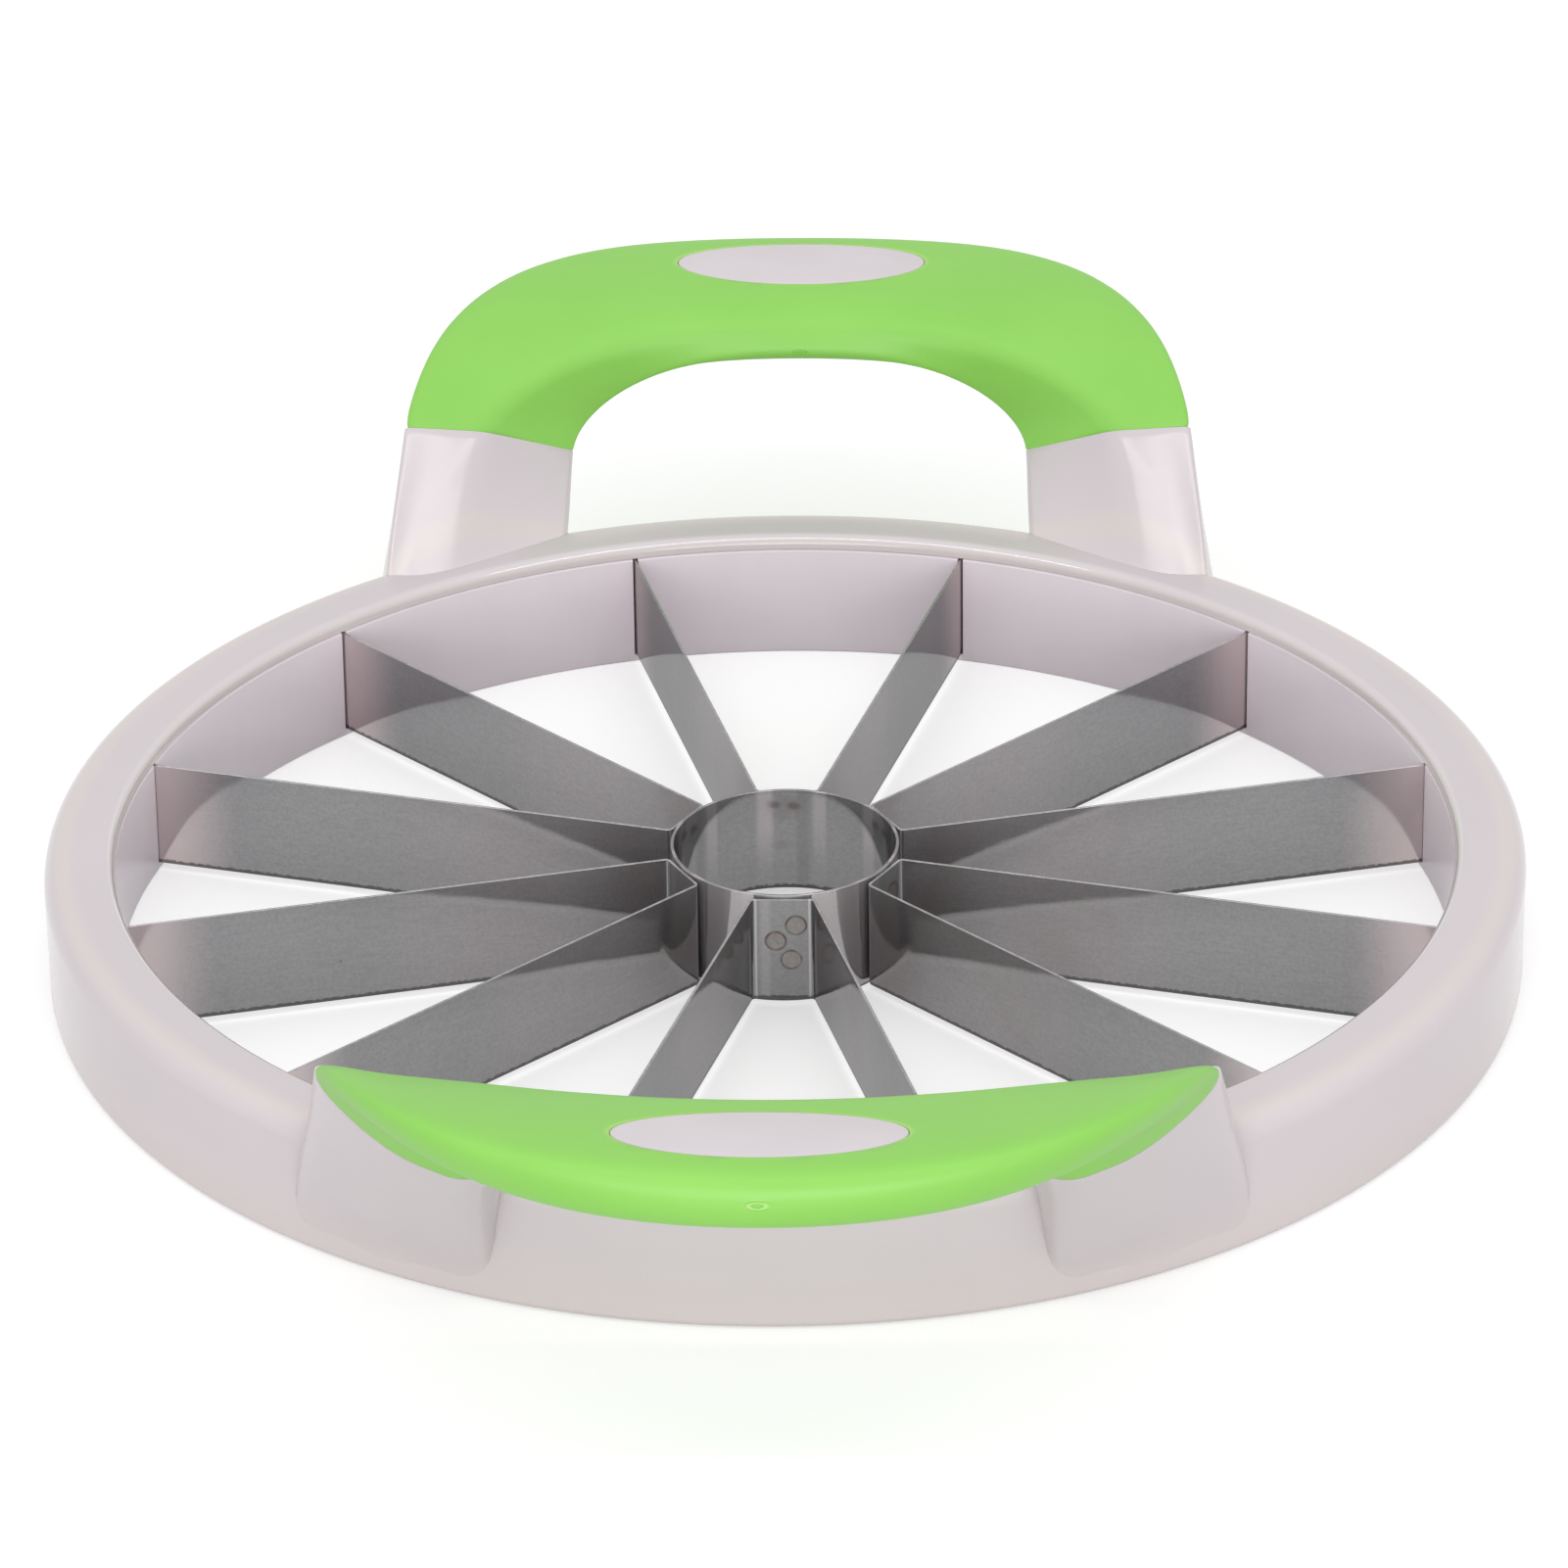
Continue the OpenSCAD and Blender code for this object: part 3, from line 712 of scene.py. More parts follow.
def sheet_steel(name, top, cut_and_glint_level, marks):
    """Cold rolled stainless sheet: fine lengthwise grain, slight waves, stains, scratches, paler and less
    metallic towards the hub, a painted dark reflection near the hub, a painted warm reflection of the liner
    near the ring, and a paler cut edge on top with painted glints, and then the marks of its own piece, most
    of them painted light and shade."""
    material, where = new_finish(name)
    z, out = up_and_out(where)
    along = where.add("ShaderNodeCombineXYZ", {"X": out, "Y": z * 14, "Z": turn_about(where) * 0.05})
    grain = noise(along, 260, 3, 0.65)
    texture = grain.spread() * 0.45 + noise(where, 1500, 2).spread() * 0.55
    # Paler and less metallic towards the hub.
    hubward = plateau(out, *HUBWARD_OUT)
    dark, pale = [hubward.mix(*pair) for pair in zip(STEEL_TONES, HUBWARD_TONES)]
    colour = texture.mix(dark, pale)
    # A painted reflection: a lighter warm tone near the ring, where the blades mirror the liner.
    colour = (out.ramp(*LINER_REFLECTION_OUT) * 0.85).mix(colour, LINER_REFLECTION)
    stains = noise(where, 26, 4, 0.62).ramp(0.52, 0.78)
    colour = (stains * 0.3).mix(colour, STAIN)
    # A painted reflection: dark brown patches near the hub.
    hub_reflection = plateau(out, *HUB_REFLECTION_OUT) * noise(where, 60, 3).ramp(0.25, 0.6)
    colour = (hub_reflection * 0.35).mix(colour, HUB_DARK_REFLECTION)
    colour = (specks(where, 120, 0.06, 0.08) * 0.5).mix(colour, STEEL_SPECK)
    scratches = noise(along, 1300, 2, 0.7, stretch=(0.12, 1, 1)).ramp(0.66, 0.74)
    colour = (scratches * 0.25).mix(colour, SCRATCH)
    rust = noise(along, 240, 3, 0.7, stretch=(0.22, 1, 1), shift=(3, 7, 0)).ramp(0.68, 0.74)
    rust = rust * (1 - out.ramp(*RUST_OUT))
    colour = (rust * 0.6).mix(colour, RUST)
    # The cut edge on top is paler, with painted glints where the chips lift it further.
    chips = noise(where, 900, 2).ramp(0.42, 0.62)
    cut_edge_and_glints = z.ramp(*shifted(top, CUT_EDGE))
    colour = (cut_edge_and_glints * (0.35 + chips * 0.65)).mix(colour, (cut_and_glint_level, cut_and_glint_level, cut_and_glint_level, 1))
    colour = marks(colour, where, z, out, chips)
    waves = noise(where, 55, 2) + grain * 0.02 + scratches * 0.015
    roughness = 0.055 + grain * 0.05 + stains * 0.04 + cut_edge_and_glints * 0.2
    close_finish(where, {"Base Color": colour, "Metallic": STEEL_METALLIC - hubward * 0.10,
                         "Roughness": roughness, "Specular Tint": STEEL_SPECULAR}, waves, 0.10, SHEET_BUMP)
    return material


def weld_steel():
    """Spot welds, with a thin brown heat ring at their edge."""
    material, where = new_finish("weld_steel")
    z, out = up_and_out(where)
    across = across_web(where, out)
    uneven = noise(where, 900, 3)
    nearest = 2.0
    for place, lift in WELD_PLACES:
        near = length(across - place, z - WEB_Z - lift) / WELD_R
        nearest = near.maths("MINIMUM", near, nearest)
    edge = nearest + uneven * 0.06 + noise(where, 300, 1) * 0.12
    ring = plateau(edge, 0.90, 0.98, 1.10, 1.18) * (0.35 + noise(where, 500, 2).ramp(0.3, 0.65) * 0.65)
    colour = uneven.spread().mix(*WELD_TONES)
    colour = (ring * 0.8).mix(colour, HEAT_RING)
    close_finish(where, {"Base Color": colour, "Metallic": STEEL_METALLIC, "Roughness": 0.10 + uneven * 0.08,
                         "Specular Tint": STEEL_SPECULAR}, uneven, 0.10)
    return material


def screw_steel():
    """Zinc plated screws."""
    material, where = new_finish("screw_steel")
    uneven = noise(where, 500, 4)
    colour = uneven.spread().mix(*SCREW_TONES)
    roughness = 0.24 + uneven * 0.16
    close_finish(where, {"Base Color": colour, "Metallic": 1.0, "Roughness": roughness}, uneven, 0.10)
    return material


SHELL_WHITE = shell_white()
LINER_WHITE = liner_white()
BADGE_WHITE = badge_white()
GRIP_GREEN = grip_green()
BLADE_STEEL = sheet_steel("blade_steel", BLADE_TOP, BLADE_CUT_GLINT_LEVEL, blade_marks)
HOOP_STEEL = sheet_steel("hoop_steel", HOOP_TOP, HOOP_CUT_GLINT_LEVEL, hoop_marks)
WELD_STEEL = weld_steel()
SCREW_STEEL = screw_steel()


def dress(piece, node, material):
    """Gives a finished piece its material and its place in the frame under the root body, and hides the CAD
    node that it stands for.
    """
    piece.data.materials.clear()
    piece.data.materials.append(material)
    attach(piece, "root")
    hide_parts(node)


# The ring and the blade carrier

def ring_outline(gap=0.0):
    """The rim's outer line, from the lip over the top and down the wall."""
    lip = arc((BORE_R + LIP_R, RING_H - LIP_R), LIP_R, 180, 90, 10)
    top = arc((RING_R - EDGE_R, RING_H - EDGE_R), EDGE_R + gap, 90, 0, 14)
    foot = arc((FOOT_R - FOOT_EDGE_R, FOOT_EDGE_R), FOOT_EDGE_R + gap, 0, -90, 8)
    return lip, top, foot


def make_ring_shell():
    lip, top, foot = ring_outline()
    lip_edge = 0.0003
    inside = [(FOOT_R - WALL_T, 0), (FOOT_R - WALL_T, FOOT_EDGE_R), (RING_R - WALL_T, RING_H - EDGE_R),
              (RING_R - EDGE_R, RING_H - TOP_T), (BORE_R + LINER_T, RING_H - TOP_T),
              (BORE_R + LINER_T, LIP_Z), (BORE_R + lip_edge, LIP_Z), (BORE_R, LIP_Z + lip_edge)]
    shell = turned_ring("ring_shell_finish", lip + top + foot + inside, SHELL_WHITE)
    tube = [(0, FLOOR_Z + SCREW_LEN), (SCREW_R, FLOOR_Z + SCREW_LEN), (SCREW_R, FLOOR_Z),
            (BOSS_R, FLOOR_Z), (BOSS_R, RING_H - TOP_T / 2), (0, RING_H - TOP_T / 2)]
    boss = lathe("boss", tube, sides=32, about=Matrix.Translation((SCREW_RING_R, 0, 0)))
    copies(boss, SCREW_COUNT, SHELL_WHITE)
    clean(boss)
    join(shell, boss)
    dress(shell, "ring_shell", SHELL_WHITE)


def make_blade_carrier():
    edge = LINER_EDGE
    outline = [(BORE_R, edge), (BORE_R, LIP_Z - edge), (BORE_R + edge, LIP_Z), (BORE_R + LINER_T, LIP_Z),
               (BORE_R + LINER_T, FLOOR_Z), (FLANGE_R, FLOOR_Z), (FLANGE_R, 0), (BORE_R + edge, 0)]
    carrier = turned_ring("blade_carrier_finish", outline, LINER_WHITE)
    half = SHEET_T / 2 + SLOT_PLAY
    over = 0.001
    near = BORE_R - over
    far = BORE_R + LINER_T + over
    base = [(near, -half), (far, -half), (far, half), (near, half)]
    rings = [[Vector((x, y, z)) for x, y in base] for z in (FLOOR_Z, RING_H)]
    slots = solid_loft("slots", rings)
    copies(slots, 2 * STRIP_COUNT, LINER_WHITE, first=BLADE_HALF)
    clean(slots)
    cut(carrier, slots)
    wide = HEAD_R * HEAD_HOLE
    narrow = SCREW_R * SHANK_HOLE
    sink = [(0, -over), (wide, -over), (wide, 0), (narrow, HEAD_H), (narrow, FLOOR_Z + over),
            (0, FLOOR_Z + over)]
    sinks = lathe("sinks", sink, sides=48, about=Matrix.Translation((SCREW_RING_R, 0, 0)))
    copies(sinks, SCREW_COUNT, LINER_WHITE)
    clean(sinks)
    cut(carrier, sinks)
    clean(carrier)
    dress(carrier, "blade_carrier", LINER_WHITE)


# The blades, the core hoop, the welds and the screws

def blade_outline():
    """Section of a blade: a slightly broken top edge and a ground lower edge."""
    half = SHEET_T / 2
    tip = half * BLADE_TIP
    broken = SHEET_T * EDGE_BREAK
    ground = FLOOR_Z + BLADE_GROUND
    return [(-half, ground), (-tip, FLOOR_Z), (tip, FLOOR_Z), (half, ground), (half, BLADE_TOP - broken),
            (half - broken, BLADE_TOP), (broken - half, BLADE_TOP), (-half, BLADE_TOP - broken)]


def hoop_outline():
    """Section of the hoop: broken top edges, and an edge ground from the inside below."""
    inner_r = CORE_R - CORE_T
    broken = CORE_T * EDGE_BREAK
    foot_in, foot_up = [CORE_T * share for share in HOOP_FOOT_BREAK]
    return [(inner_r, HOOP_LOW + HOOP_GROUND), (CORE_R - CORE_T * HOOP_TIP, HOOP_LOW),
            (CORE_R - foot_in, HOOP_LOW), (CORE_R, HOOP_LOW + foot_up), (CORE_R, HOOP_TOP - broken),
            (CORE_R - broken, HOOP_TOP), (inner_r + broken, HOOP_TOP), (inner_r, HOOP_TOP - broken)]


def make_blade_strip(node, degrees):
    web_end = Vector((WEB_R, WEB_R * tan(BLADE_HALF)))
    blade_end = Vector((cos(BLADE_HALF), sin(BLADE_HALF))) * TAB_R
    tab_end = blade_end + Vector((-sin(BLADE_HALF), cos(BLADE_HALF))) * TAB_LEN
    half = [tab_end, blade_end, web_end]
    path = half + [Vector((p.x, -p.y)) for p in reversed(half)]
    strip = swept(node + "_finish", path, blade_outline(), BLADE_STEEL, turn=radians(degrees),
                  bend=BEND_R, bend_points=8)
    clean(strip, sharp=25)
    dress(strip, node, BLADE_STEEL)


def make_core_ring():
    hoop = turned_ring("core_ring_finish", hoop_outline(), HOOP_STEEL, sides=192)
    clean(hoop, sharp=25)
    dress(hoop, "core_ring", HOOP_STEEL)


def make_welds():
    """Shallow round nuggets on each web."""
    outer = WEB_R + SHEET_T / 2
    outline = [(WELD_R * r, WELD_PROUD * z) for r, z in WELD_OUTLINE]
    outline += [(outline[-1][0], -SHEET_T / 2), (0, -SHEET_T / 2)]
    facing = Matrix.Rotation(pi / 2, 4, "Y")
    nuggets = []
    for across, up in WELD_PLACES:
        place = Matrix.Translation((outer, across, WEB_Z + up))
        nuggets.append(lathe("nugget", outline, sides=40, about=place @ facing))
    welds = nuggets[0]
    welds.name = "weld_nuggets_finish"
    join(welds, *nuggets[1:])
    copies(welds, STRIP_COUNT, WELD_STEEL, first=pi / 2)
    clean(welds)
    dress(welds, "weld_nuggets", WELD_STEEL)


def make_screws():
    """Countersunk screws under the ring, with a cross recess."""
    outline = [(0, 0), (HEAD_R * 0.94, 0), (HEAD_R, HEAD_H * 0.08), (SCREW_R, HEAD_H)]
    pitch = (SCREW_LEN - HEAD_H) / (THREADS + 1)
    root = SCREW_R * THREAD_ROOT
    for k in range(THREADS):
        z = HEAD_H + pitch * (k + 0.5)
        outline += [(root, z), (SCREW_R, z + pitch * 0.45), (root, z + pitch * 0.9)]
    point = SCREW_R * 0.3
    outline += [(point, SCREW_LEN), (0, SCREW_LEN)]
    screws = lathe("carrier_screws_finish", outline, sides=32)
    clean(screws)
    long = HEAD_R * 0.55
    narrow = HEAD_R * 0.11
    deep = HEAD_H * 0.7
    for flip in (0, pi / 2):
        base = [(-long, -narrow), (long, -narrow), (long, narrow), (-long, narrow)]
        rings = [[Vector((x, y, -HEAD_H)) for x, y in base],
                 [Vector((x, y, 0)) for x, y in base],
                 [Vector((x * 0.55, y * 0.8, deep)) for x, y in base]]
        cross = turned(solid_loft("cross", rings), flip)
        clean(cross)
        cut(screws, cross)
    screws.data.transform(Matrix.Translation((SCREW_RING_R, 0, 0)))
    copies(screws, SCREW_COUNT, SCREW_STEEL)
    clean(screws)
    dress(screws, "carrier_screws", SCREW_STEEL)


# The handles. A section has six corners: outer top edge, crease, inner edge, lower inner edge, belly and
# lower outer edge, placed where a leg meets the ring, where the grip starts, and at the crown of the bow.

def bow_top(y):
    return BOW_Z + sqrt(ARCH_R ** 2 - (y - BOW_Y) ** 2)


SEAM_SUM = RING_R + RING_H + SEAM_LIFT
SEAM_REACH = SEAM_SUM - BOW_Y - BOW_Z
SEAM_Y = BOW_Y + (SEAM_REACH - sqrt(2 * ARCH_R ** 2 - SEAM_REACH ** 2)) / 2
SEAM_Z = SEAM_SUM - SEAM_Y


def seam_at(x, depth):
    return Vector((x, SEAM_Y + depth * cos(SEAM_SLOPE), SEAM_Z - depth * sin(SEAM_SLOPE)))


def foot_at(x, z, inset):
    return Vector((x, sqrt((RING_R - inset) ** 2 - x * x), z))


FOOT_INSET = (0.0033, 0.009, 0.0039)
FOOT_Z = (0.0045, 0.0062, 0.006)
FOOT_LEAN = (-0.0019, 0.0024)
SEAM_LEAN = 0.0004
UNDER_SET = (0.003, 0.008)
BELLY_SHARE = 0.6
SEAM_DEPTH = (LEG_DEPTH + 0.0016, LEG_DEPTH * 0.8, 0.0004)
NOSE_OUT = 0.004
CROWN_LIFT = (0.0017, -0.0007, 0.0, 0.001)
ROOT = 0.004
FOOT_CORNERS = (
    foot_at(LEG_OUT_FOOT + FOOT_LEAN[0], RING_H, FOOT_INSET[0]),
    foot_at(CREASE_FOOT, RING_H, FOOT_INSET[1]),
    foot_at(FINGER_FOOT, RING_H, FOOT_INSET[2]),
    foot_at(FINGER_FOOT + UNDER_SET[0], FOOT_Z[0], 0),
    foot_at(lerp(FINGER_FOOT, LEG_OUT_FOOT, BELLY_SHARE), FOOT_Z[1], 0),
    foot_at(LEG_OUT_FOOT + FOOT_LEAN[1], FOOT_Z[2], 0))
SEAM_CORNERS = (
    seam_at(LEG_OUT_SEAM, -BANK),
    seam_at(CREASE_SEAM, 0),
    seam_at(FINGER_SEAM, LEG_DEPTH),
    seam_at(FINGER_SEAM + UNDER_SET[1], SEAM_DEPTH[0]),
    seam_at(lerp(FINGER_SEAM, LEG_OUT_SEAM, BELLY_SHARE), SEAM_DEPTH[1]),
    seam_at(LEG_OUT_SEAM + SEAM_LEAN, SEAM_DEPTH[2]))
CROWN_CORNERS = (
    Vector((0, GRIP_Y, bow_top(GRIP_Y))),
    Vector((0, INNER_Y, bow_top(INNER_Y))),
    Vector((0, INNER_Y - NOSE_OUT, BAR_Z + CROWN_LIFT[0])),
    Vector((0, INNER_Y - NOSE_OUT / 2, BAR_Z + CROWN_LIFT[1])),
    Vector((0, GRIP_Y - BAR_W / 2, BAR_Z + CROWN_LIFT[2])),
    Vector((0, GRIP_Y, BAR_Z + CROWN_LIFT[3])))
SEAM_RUN = (0.033, 0.012, 0.010, 0.014, 0.014, 0.013)
CROWN_RUN = (0.070, 0.035, 0.030, 0.036, 0.048, 0.066)
FOOT_ROUND = (0.001, 0.012, 0.002, 0.009, 0.004, 0.007)
SEAM_ROUND = (0.001, 0.003, 0.002, 0.003, 0.008, 0.007)
CROWN_ROUND = (0.0055, 0.006, 0.002, 0.002, 0.006, 0.0055)
# The lower corners of a leg run out along the ring's wall over these heights, as a fillet does
RUN_OUT = (0.0036, 0.0054, 0.0053)
RUN_OUT_START = 0.1
RUN_OUT_END = 0.36
WALL_SINK = 0.0004
EDGE_SHARE = 0.48
ROUND_STEPS = 7
TOP_STEPS = 10
SIDE_STEPS = 3
LEG_STEPS = 20
BOW_STEPS = 44
BANK_Z = SEAM_CORNERS[0].z - bow_top(SEAM_CORNERS[0].y)
CORE_SHARE = 2 * SKIN_T / BAR_T


def top_z(y, s, share):
    return bow_top(y) + BANK_Z * (1 - s) ** 2 * share


def leg_corner(i, t):
    """Corner i of a leg's section, with t as 0 inside the ring and 1 at the seam."""
    foot = FOOT_CORNERS[i]
    seam = SEAM_CORNERS[i]
    along = (seam - foot).normalized()
    if i < 3:
        return lerp(foot - along * ROOT, seam, t)
    run = RUN_OUT[i - 3]
    low = foot_at(foot.x, foot.z - run, WALL_SINK)
    if t < RUN_OUT_START:
        return lerp(foot_at(foot.x, low.z, ROOT / 2), low, t / RUN_OUT_START)
    high = foot + along * run
    if t < RUN_OUT_END:
        u = (t - RUN_OUT_START) / (RUN_OUT_END - RUN_OUT_START)
        return low * (1 - u) ** 2 + foot * (2 * u * (1 - u)) + high * u ** 2
    return lerp(high, seam, (t - RUN_OUT_END) / (1 - RUN_OUT_END))


def corner(i, s):
    """Corner i of the section at s, which is -1 at the ring, 0 at the seam and 1 at the crown."""
    if s < 0:
        return leg_corner(i, 1 + s)
    seam = SEAM_CORNERS[i]
    along = (seam - FOOT_CORNERS[i]).normalized()
    crown = CROWN_CORNERS[i]
    p = bezier((seam, seam + along * SEAM_RUN[i], crown + Vector((CROWN_RUN[i], 0, 0)), crown), s)
    if s > 0 and i < 2:
        p.z = top_z(p.y, s, 1 - i)
    return p


def rounding(i, s):
    if s < 0:
        return lerp(FOOT_ROUND[i], SEAM_ROUND[i], 1 + s)
    return lerp(SEAM_ROUND[i], CROWN_ROUND[i], sqrt(s))


def toward(p, q, size):
    return p + (q - p).normalized() * min(size, (q - p).length * EDGE_SHARE)


def rounded(u, p, v):
    """A rounded corner at p, as points from u to v."""
    steps = [k / ROUND_STEPS for k in range(ROUND_STEPS + 1)]
    return [u * (1 - t) ** 2 + p * (2 * t * (1 - t)) + v * t ** 2 for t in steps]


def between(a, b):
    return [lerp(a, b, k / (SIDE_STEPS + 1)) for k in range(1, SIDE_STEPS + 1)]


def top_point(q, s, share):
    """A point of the top face, at a share of the way from its outer edge to its crease."""
    p = lerp(q[0], q[1], share)
    if s >= 0:
        p.z = top_z(p.y, s, 1 - share)
    return p


def section(s):
    """A closed section through the handle."""
    q = [corner(i, s) for i in range(6)]
    size = [rounding(i, s) for i in range(6)]
    width = (q[1] - q[0]).length
    first = min(size[0] / width, EDGE_SHARE)
    last = 1 - min(size[1] / width, EDGE_SHARE)
    tops = [top_point(q, s, lerp(first, last, k / TOP_STEPS)) for k in range(TOP_STEPS + 1)]
    points = rounded(toward(q[0], q[5], size[0]), q[0], tops[0]) + tops[1:-1]
    points += rounded(tops[-1], q[1], toward(q[1], q[2], size[1]))
    for i in range(2, 6):
        bend = rounded(toward(q[i], q[i - 1], size[i]), q[i], toward(q[i], q[(i + 1) % 6], size[i]))
        points += between(points[-1], bend[0]) + bend
    return points + between(points[-1], points[0])


# The softer nose of a handle: how many points of a section it takes in, and where it comes in up the leg
# and goes out towards the crown
NOSE_BELOW = SIDE_STEPS + 1
NOSE_ABOVE = 2
NOSE_POINTS = 2 * (ROUND_STEPS + 1) + SIDE_STEPS + NOSE_BELOW + NOSE_ABOVE
NOSE_PASSES = 16
NOSE_IN = (-0.6, 0.0)
NOSE_GONE = (0.35, 0.8)


def soft_step(a, b, x):
    t = min(1.0, max(0.0, (x - a) / (b - a)))
    return t * t * (3 - 2 * t)


def soft_nose(points, s):
    """A section of the handle with the two outer edges blended into one round nose."""
    share = soft_step(*NOSE_IN, s) * (1 - soft_step(*NOSE_GONE, s))
    tail = ROUND_STEPS + 1 + SIDE_STEPS + NOSE_BELOW
    ring = points[-tail:] + points[:-tail]
    soft = ring[:NOSE_POINTS]
    for _ in range(NOSE_PASSES):
        soft = soft[:1] + [(a + b * 2 + c) / 4 for a, b, c in zip(soft, soft[1:], soft[2:])] + soft[-1:]
    ring[:NOSE_POINTS] = [lerp(p, q, share) for p, q in zip(ring, soft)]
    return ring[tail:] + ring[:tail]


def slim(points, share):
    """A section drawn in towards its middle by a share of its size."""
    middle = sum(points, Vector()) / len(points)
    return [lerp(p, middle, share) for p in points]


def drawn_in(points, distance):
    """A section drawn in towards its middle by a distance."""
    middle = sum(points, Vector()) / len(points)
    return [toward(p, middle, distance) for p in points]


def mirrored(points):
    return [Vector((-p.x, p.y, p.z)) for p in points]


def whole_bow(half):
    """Both halves of a bow from the rings of one."""
    return half + [mirrored(ring) for ring in reversed(half[:-1])]


# A leg ends square, a little proud of the grip, whose end is rounded: places along the handle, and insets
LEG_END = ((0.004, 0.00002), (0.0, 0.0001))
GRIP_END = ((0.0, 0.0005), (0.0015, 0.0003), (0.005, 0.0002), (0.014, 0.00008))
# The leg's outer corner shows past the tip of the grip: by this much, so far along and so far round
TIP_INSET = 0.0007
TIP_RUN = 0.07
TIP_SIZE = 0.007


def without_tip(points, s):
    """A grip's section with its outer tip drawn in near the seam."""
    depth = TIP_INSET * max(0.0, 1 - s / TIP_RUN) ** 2
    middle = sum(points, Vector()) / len(points)
    tip = corner(0, s)
    return [toward(p, middle, depth * max(0.0, 1 - (p - tip).length / TIP_SIZE)) for p in points]


def make_handle_core(name, node, turn):
    legs = [soft_nose(section(k / LEG_STEPS - 1), k / LEG_STEPS - 1) for k in range(LEG_STEPS)]
    legs += [drawn_in(soft_nose(section(-s), -s), inset) for s, inset in LEG_END]
    bow = [slim(section(k / BOW_STEPS), CORE_SHARE) for k in range(BOW_STEPS + 1)]
    core = solid_loft(name, whole_bow(legs + bow))
    clean(core)
    top, foot = ring_outline(SEAT_PLAY)[1:]
    under = 0.002
    rim = [(FOOT_R + SEAT_PLAY, -under)] + foot[:1] + top[::-1]
    envelope = lathe("envelope", [(0, -under)] + rim + [(0, RING_H + SEAT_PLAY)], RING_SIDES)
    clean(envelope)
    cut(core, envelope)
    clean(core, sharp=40)
    dress(turned(core, turn), node, SHELL_WHITE)


def oval(grow, lift, sides=96):
    """A ring of points round a badge, lifted off the top face of the bow."""
    points = []
    for k in range(sides):
        a = 2 * pi * k / sides
        y = BADGE_Y + (BADGE_HALF_W + grow) * sin(a)
        points.append(Vector(((BADGE_HALF_L + grow) * cos(a), y, bow_top(y) + lift)))
    return points


# Rings of an opening's cutter and of a badge: how far each is grown, and lifted off the top face
WINDOW_RINGS = ((0.0001, -SKIN_T * 2), (0.0001, -0.0002), (0.0002, 0.0), (0.0012, 0.0006))
BADGE_RINGS = ((-0.0045, 0.0), (-0.002, 0.0), (-0.0008, 0.0), (-0.0003, -0.00001), (-0.0001, -0.00005),
               (0.0, -0.00016), (0.0, -SKIN_T * 0.9))
# Profile of a gate mark's cutter: a moat round a flat ring, and a pit in the middle
GATE_OUTLINE = ((0, 6.0), (1.25, 6.0), (1.2, 0.5), (1.05, -0.9), (0.9, 0.3), (0.6, 0.3), (0.42, -1.2),
                (0, -1.2))


def crown_point(z, outer):
    """The point of the crown's section at a height, on its outer or its inner side."""
    ring = section(1.0)
    side = 1 if outer else -1
    hits = []
    for a, b in zip(ring, ring[1:] + ring[:1]):
        if (a.z - z) * (b.z - z) <= 0 and a.z != b.z:
            hits.append(lerp(a, b, (z - a.z) / (b.z - a.z)))
    return max(hits, key=lambda p: p.y * side)


def gate_mark(place, facing, size):
    face = facing.to_track_quat("Z", "Y").to_matrix().to_4x4()
    about = Matrix.Translation(place) @ face @ Matrix.Diagonal((*size, 1))
    mark = lathe("gate", GATE_OUTLINE, sides=32, about=about)
    clean(mark)
    return mark


def make_grip(name, node, turn):
    places = [s for s, inset in GRIP_END] + [k / BOW_STEPS for k in range(1, BOW_STEPS + 1)]
    insets = [inset for s, inset in GRIP_END] + [0.0] * BOW_STEPS
    half = [without_tip(drawn_in(soft_nose(section(s), s), inset), s) for s, inset in zip(places, insets)]
    inner = [slim(section(s), CORE_SHARE) for s in places]
    grip = tube_loft(name, whole_bow(half), whole_bow(inner))
    clean(grip)
    opening = solid_loft("opening", [oval(*ring) for ring in WINDOW_RINGS])
    clean(opening)
    cut(grip, opening)
    cut(grip, gate_mark(crown_point(GATE_Z, True), Vector((0, 1, 0.1)), GATE_SIZE))
    cut(grip, gate_mark(crown_point(NICK_Z, False), Vector((0, -1, 0)), NICK_SIZE))
    clean(grip, sharp=40)
    dress(turned(grip, turn), node, GRIP_GREEN)


def make_badge(name, node, turn):
    badge = solid_loft(name, [oval(*ring) for ring in BADGE_RINGS])
    clean(badge)
    dress(turned(badge, turn), node, BADGE_WHITE)


make_ring_shell()
make_blade_carrier()
for strip_node, strip_turn in STRIP_TURNS.items():
    make_blade_strip(strip_node, strip_turn)
make_core_ring()
make_welds()
make_screws()
for side, side_turn in (("rear", 0.0), ("front", pi)):
    make_handle_core(side + "_handle_core_finish", side + "_handle_core", side_turn)
    make_grip(side + "_grip_finish", side + "_grip", side_turn)
    make_badge(side + "_badge_finish", side + "_badge", side_turn)


# Floor, background and light

FLOOR_WHITE = 0.62
FLOOR_TOP_UP = 0.48
WORLD_LEVEL = 0.89
# Place, target, size and power of each lamp
FRONT_BOX = ((0.05, -2.0, 0.42), (0, 0, 0.03), (1.6, 0.7), 16.5)
STRIP_BOX = ((0, -0.42, 1.165), (0, 0.1, 0.03), (1.9, 0.08), 2.7)


def seen_share(tree):
    """1 for rays from the camera or off gloss or through glass, which see the white background."""
    rays = tree.nodes.new("ShaderNodeLightPath").outputs
    seen = Wire(rays["Is Camera Ray"]) + Wire(rays["Is Glossy Ray"]) + Wire(rays["Is Transmission Ray"])
    return seen.maths("MINIMUM", seen, 1.0)


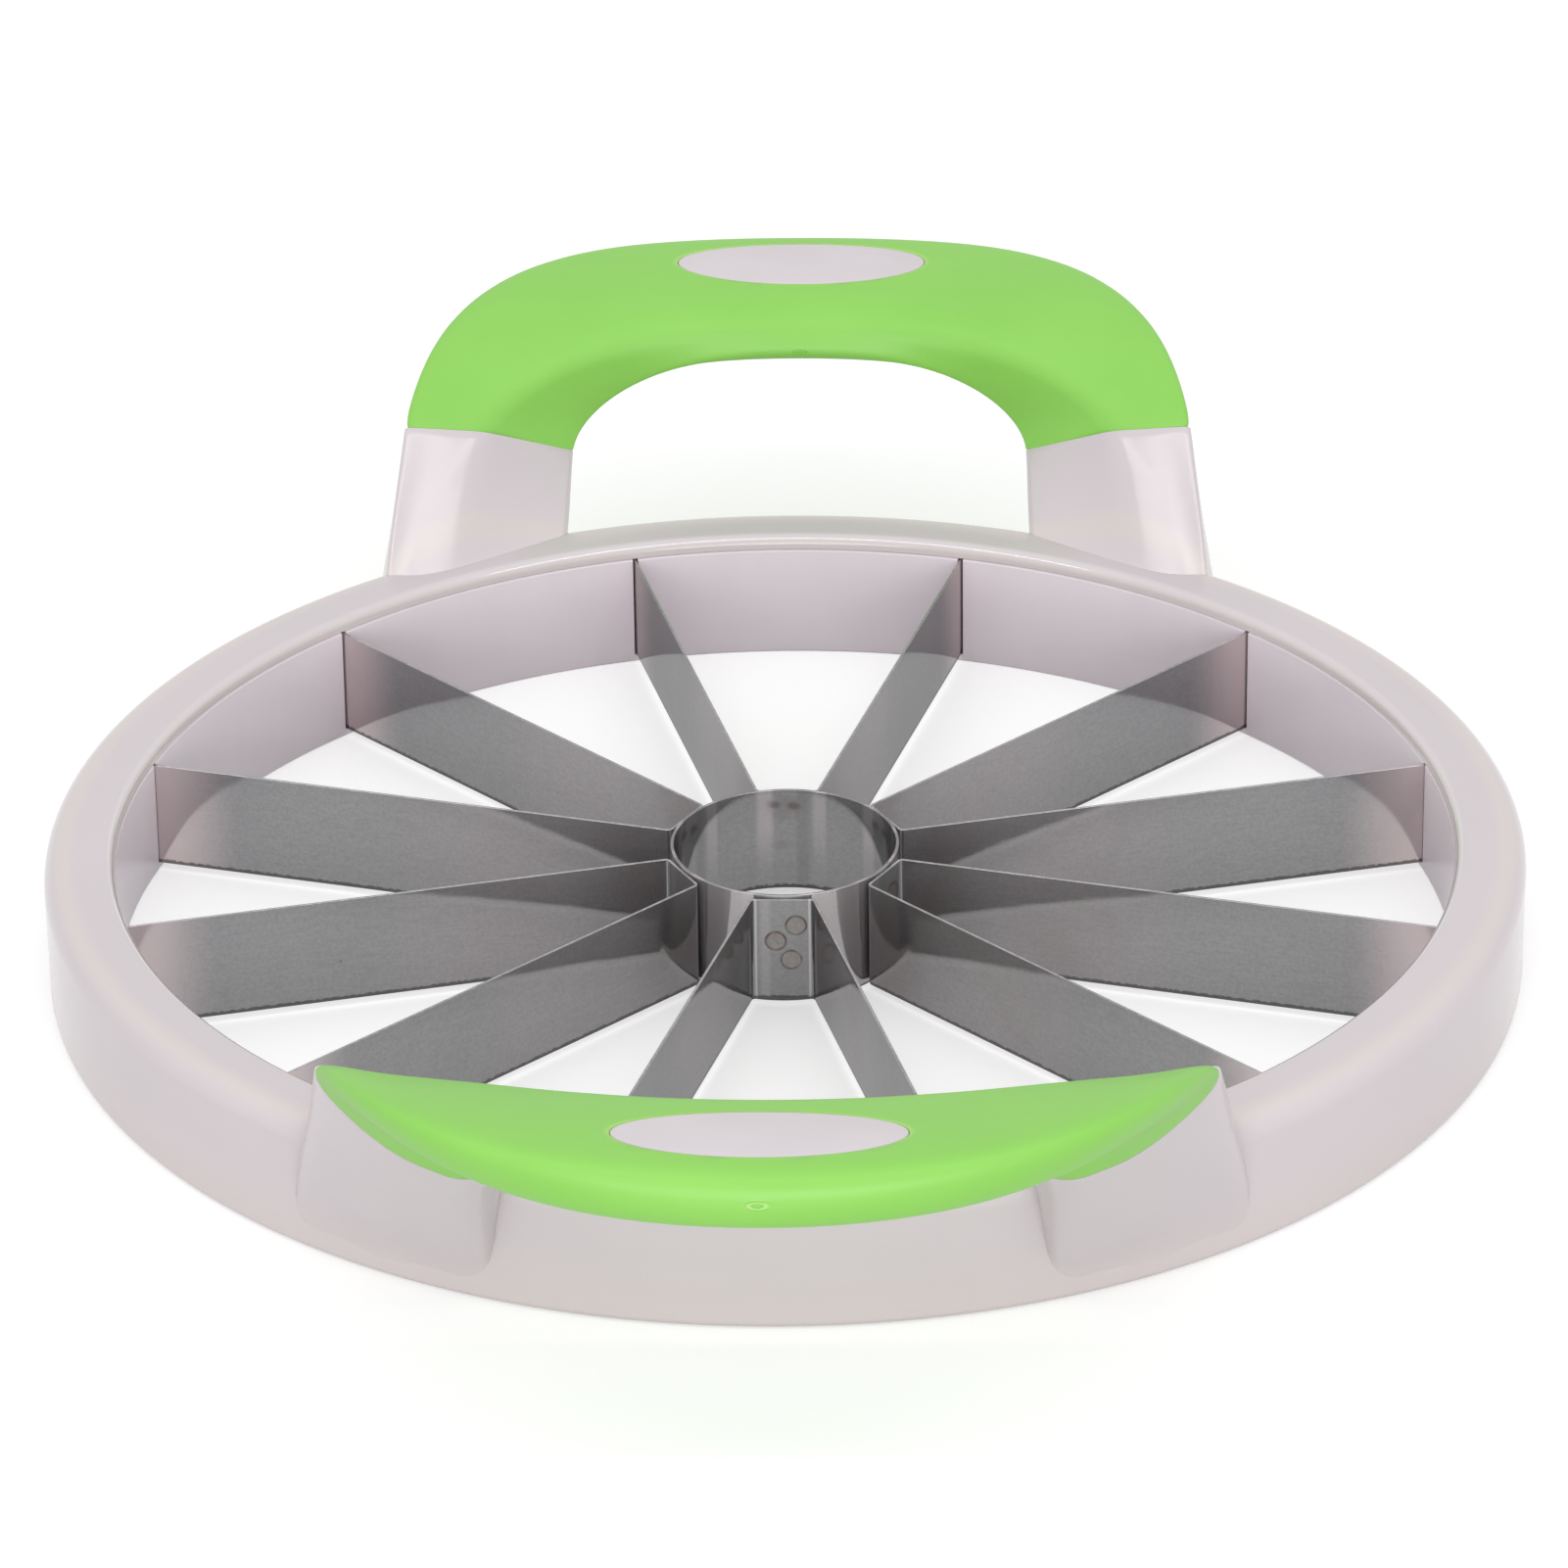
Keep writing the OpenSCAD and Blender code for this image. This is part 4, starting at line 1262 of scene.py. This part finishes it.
def make_floor():
    side = 4.0
    floor = make_piece("floor", [(-side, -side, 0), (side, -side, 0), (side, side, 0), (-side, side, 0)],
                       faces=[(0, 1, 2, 3)])
    material, where = new_finish("floor_white")
    matt = where.add("ShaderNodeBsdfDiffuse", {"Color": (FLOOR_WHITE, FLOOR_WHITE, FLOOR_WHITE, 1)})
    glow = where.add("ShaderNodeEmission", {"Strength": seen_share(material.node_tree) * FLOOR_TOP_UP})
    both = where.add("ShaderNodeAddShader", {0: matt, 1: glow})
    where.add("ShaderNodeOutputMaterial", {"Surface": both})
    floor.data.materials.append(material)


def make_world():
    world = bpy.data.worlds.new("studio")
    world.use_nodes = True
    world.node_tree.nodes.clear()
    seen = seen_share(world.node_tree)
    level = seen * (1 - WORLD_LEVEL) + WORLD_LEVEL
    sky = seen.add("ShaderNodeBackground", {"Color": (1, 1, 1, 1), "Strength": level})
    seen.add("ShaderNodeOutputWorld", {"Surface": sky})
    bpy.context.scene.world = world


def make_softbox(name, place, target, size, power):
    light = bpy.data.lights.new(name, "AREA")
    light.shape = "RECTANGLE"
    light.size = size[0]
    light.size_y = size[1]
    light.energy = power
    lamp = bpy.data.objects.new(name, light)
    lamp.location = place
    lamp.rotation_euler = (Vector(target) - Vector(place)).to_track_quat("-Z", "Y").to_euler()
    bpy.context.scene.collection.objects.link(lamp)


# The camera stands where the photograph was taken from
IMAGE_PIXELS = 1601
FOCAL_PIXELS = 8856.68
SENSOR_MM = 36.0
CAMERA_AZIMUTH = radians(1.57583)
CAMERA_ELEVATION = radians(27.5388)
CAMERA_ROLL = radians(-0.744836)
CAMERA_DISTANCE = 1.6415
CAMERA_TARGET = Vector((0, 0, 0.03572))


def make_camera():
    flat = cos(CAMERA_ELEVATION)
    back = Vector((sin(CAMERA_AZIMUTH) * flat, -cos(CAMERA_AZIMUTH) * flat, sin(CAMERA_ELEVATION)))
    right = Vector((cos(CAMERA_AZIMUTH), sin(CAMERA_AZIMUTH), 0))
    up = back.cross(right)
    across = right * cos(CAMERA_ROLL) + up * sin(CAMERA_ROLL)
    upward = up * cos(CAMERA_ROLL) - right * sin(CAMERA_ROLL)
    eye = CAMERA_TARGET + back * CAMERA_DISTANCE
    lens = bpy.data.cameras.new("camera")
    lens.sensor_width = SENSOR_MM
    lens.lens = FOCAL_PIXELS / IMAGE_PIXELS * SENSOR_MM
    lens.clip_start = 0.05
    lens.clip_end = 20
    camera = bpy.data.objects.new("camera", lens)
    axes = Matrix((across, upward, back)).transposed().to_4x4()
    camera.matrix_world = Matrix.Translation(eye) @ axes
    bpy.context.scene.collection.objects.link(camera)
    bpy.context.scene.camera = camera


make_floor()
make_world()
make_softbox("front_box", *FRONT_BOX)
make_softbox("strip_box", *STRIP_BOX)
make_camera()
bpy.context.scene.view_settings.view_transform = "Standard"
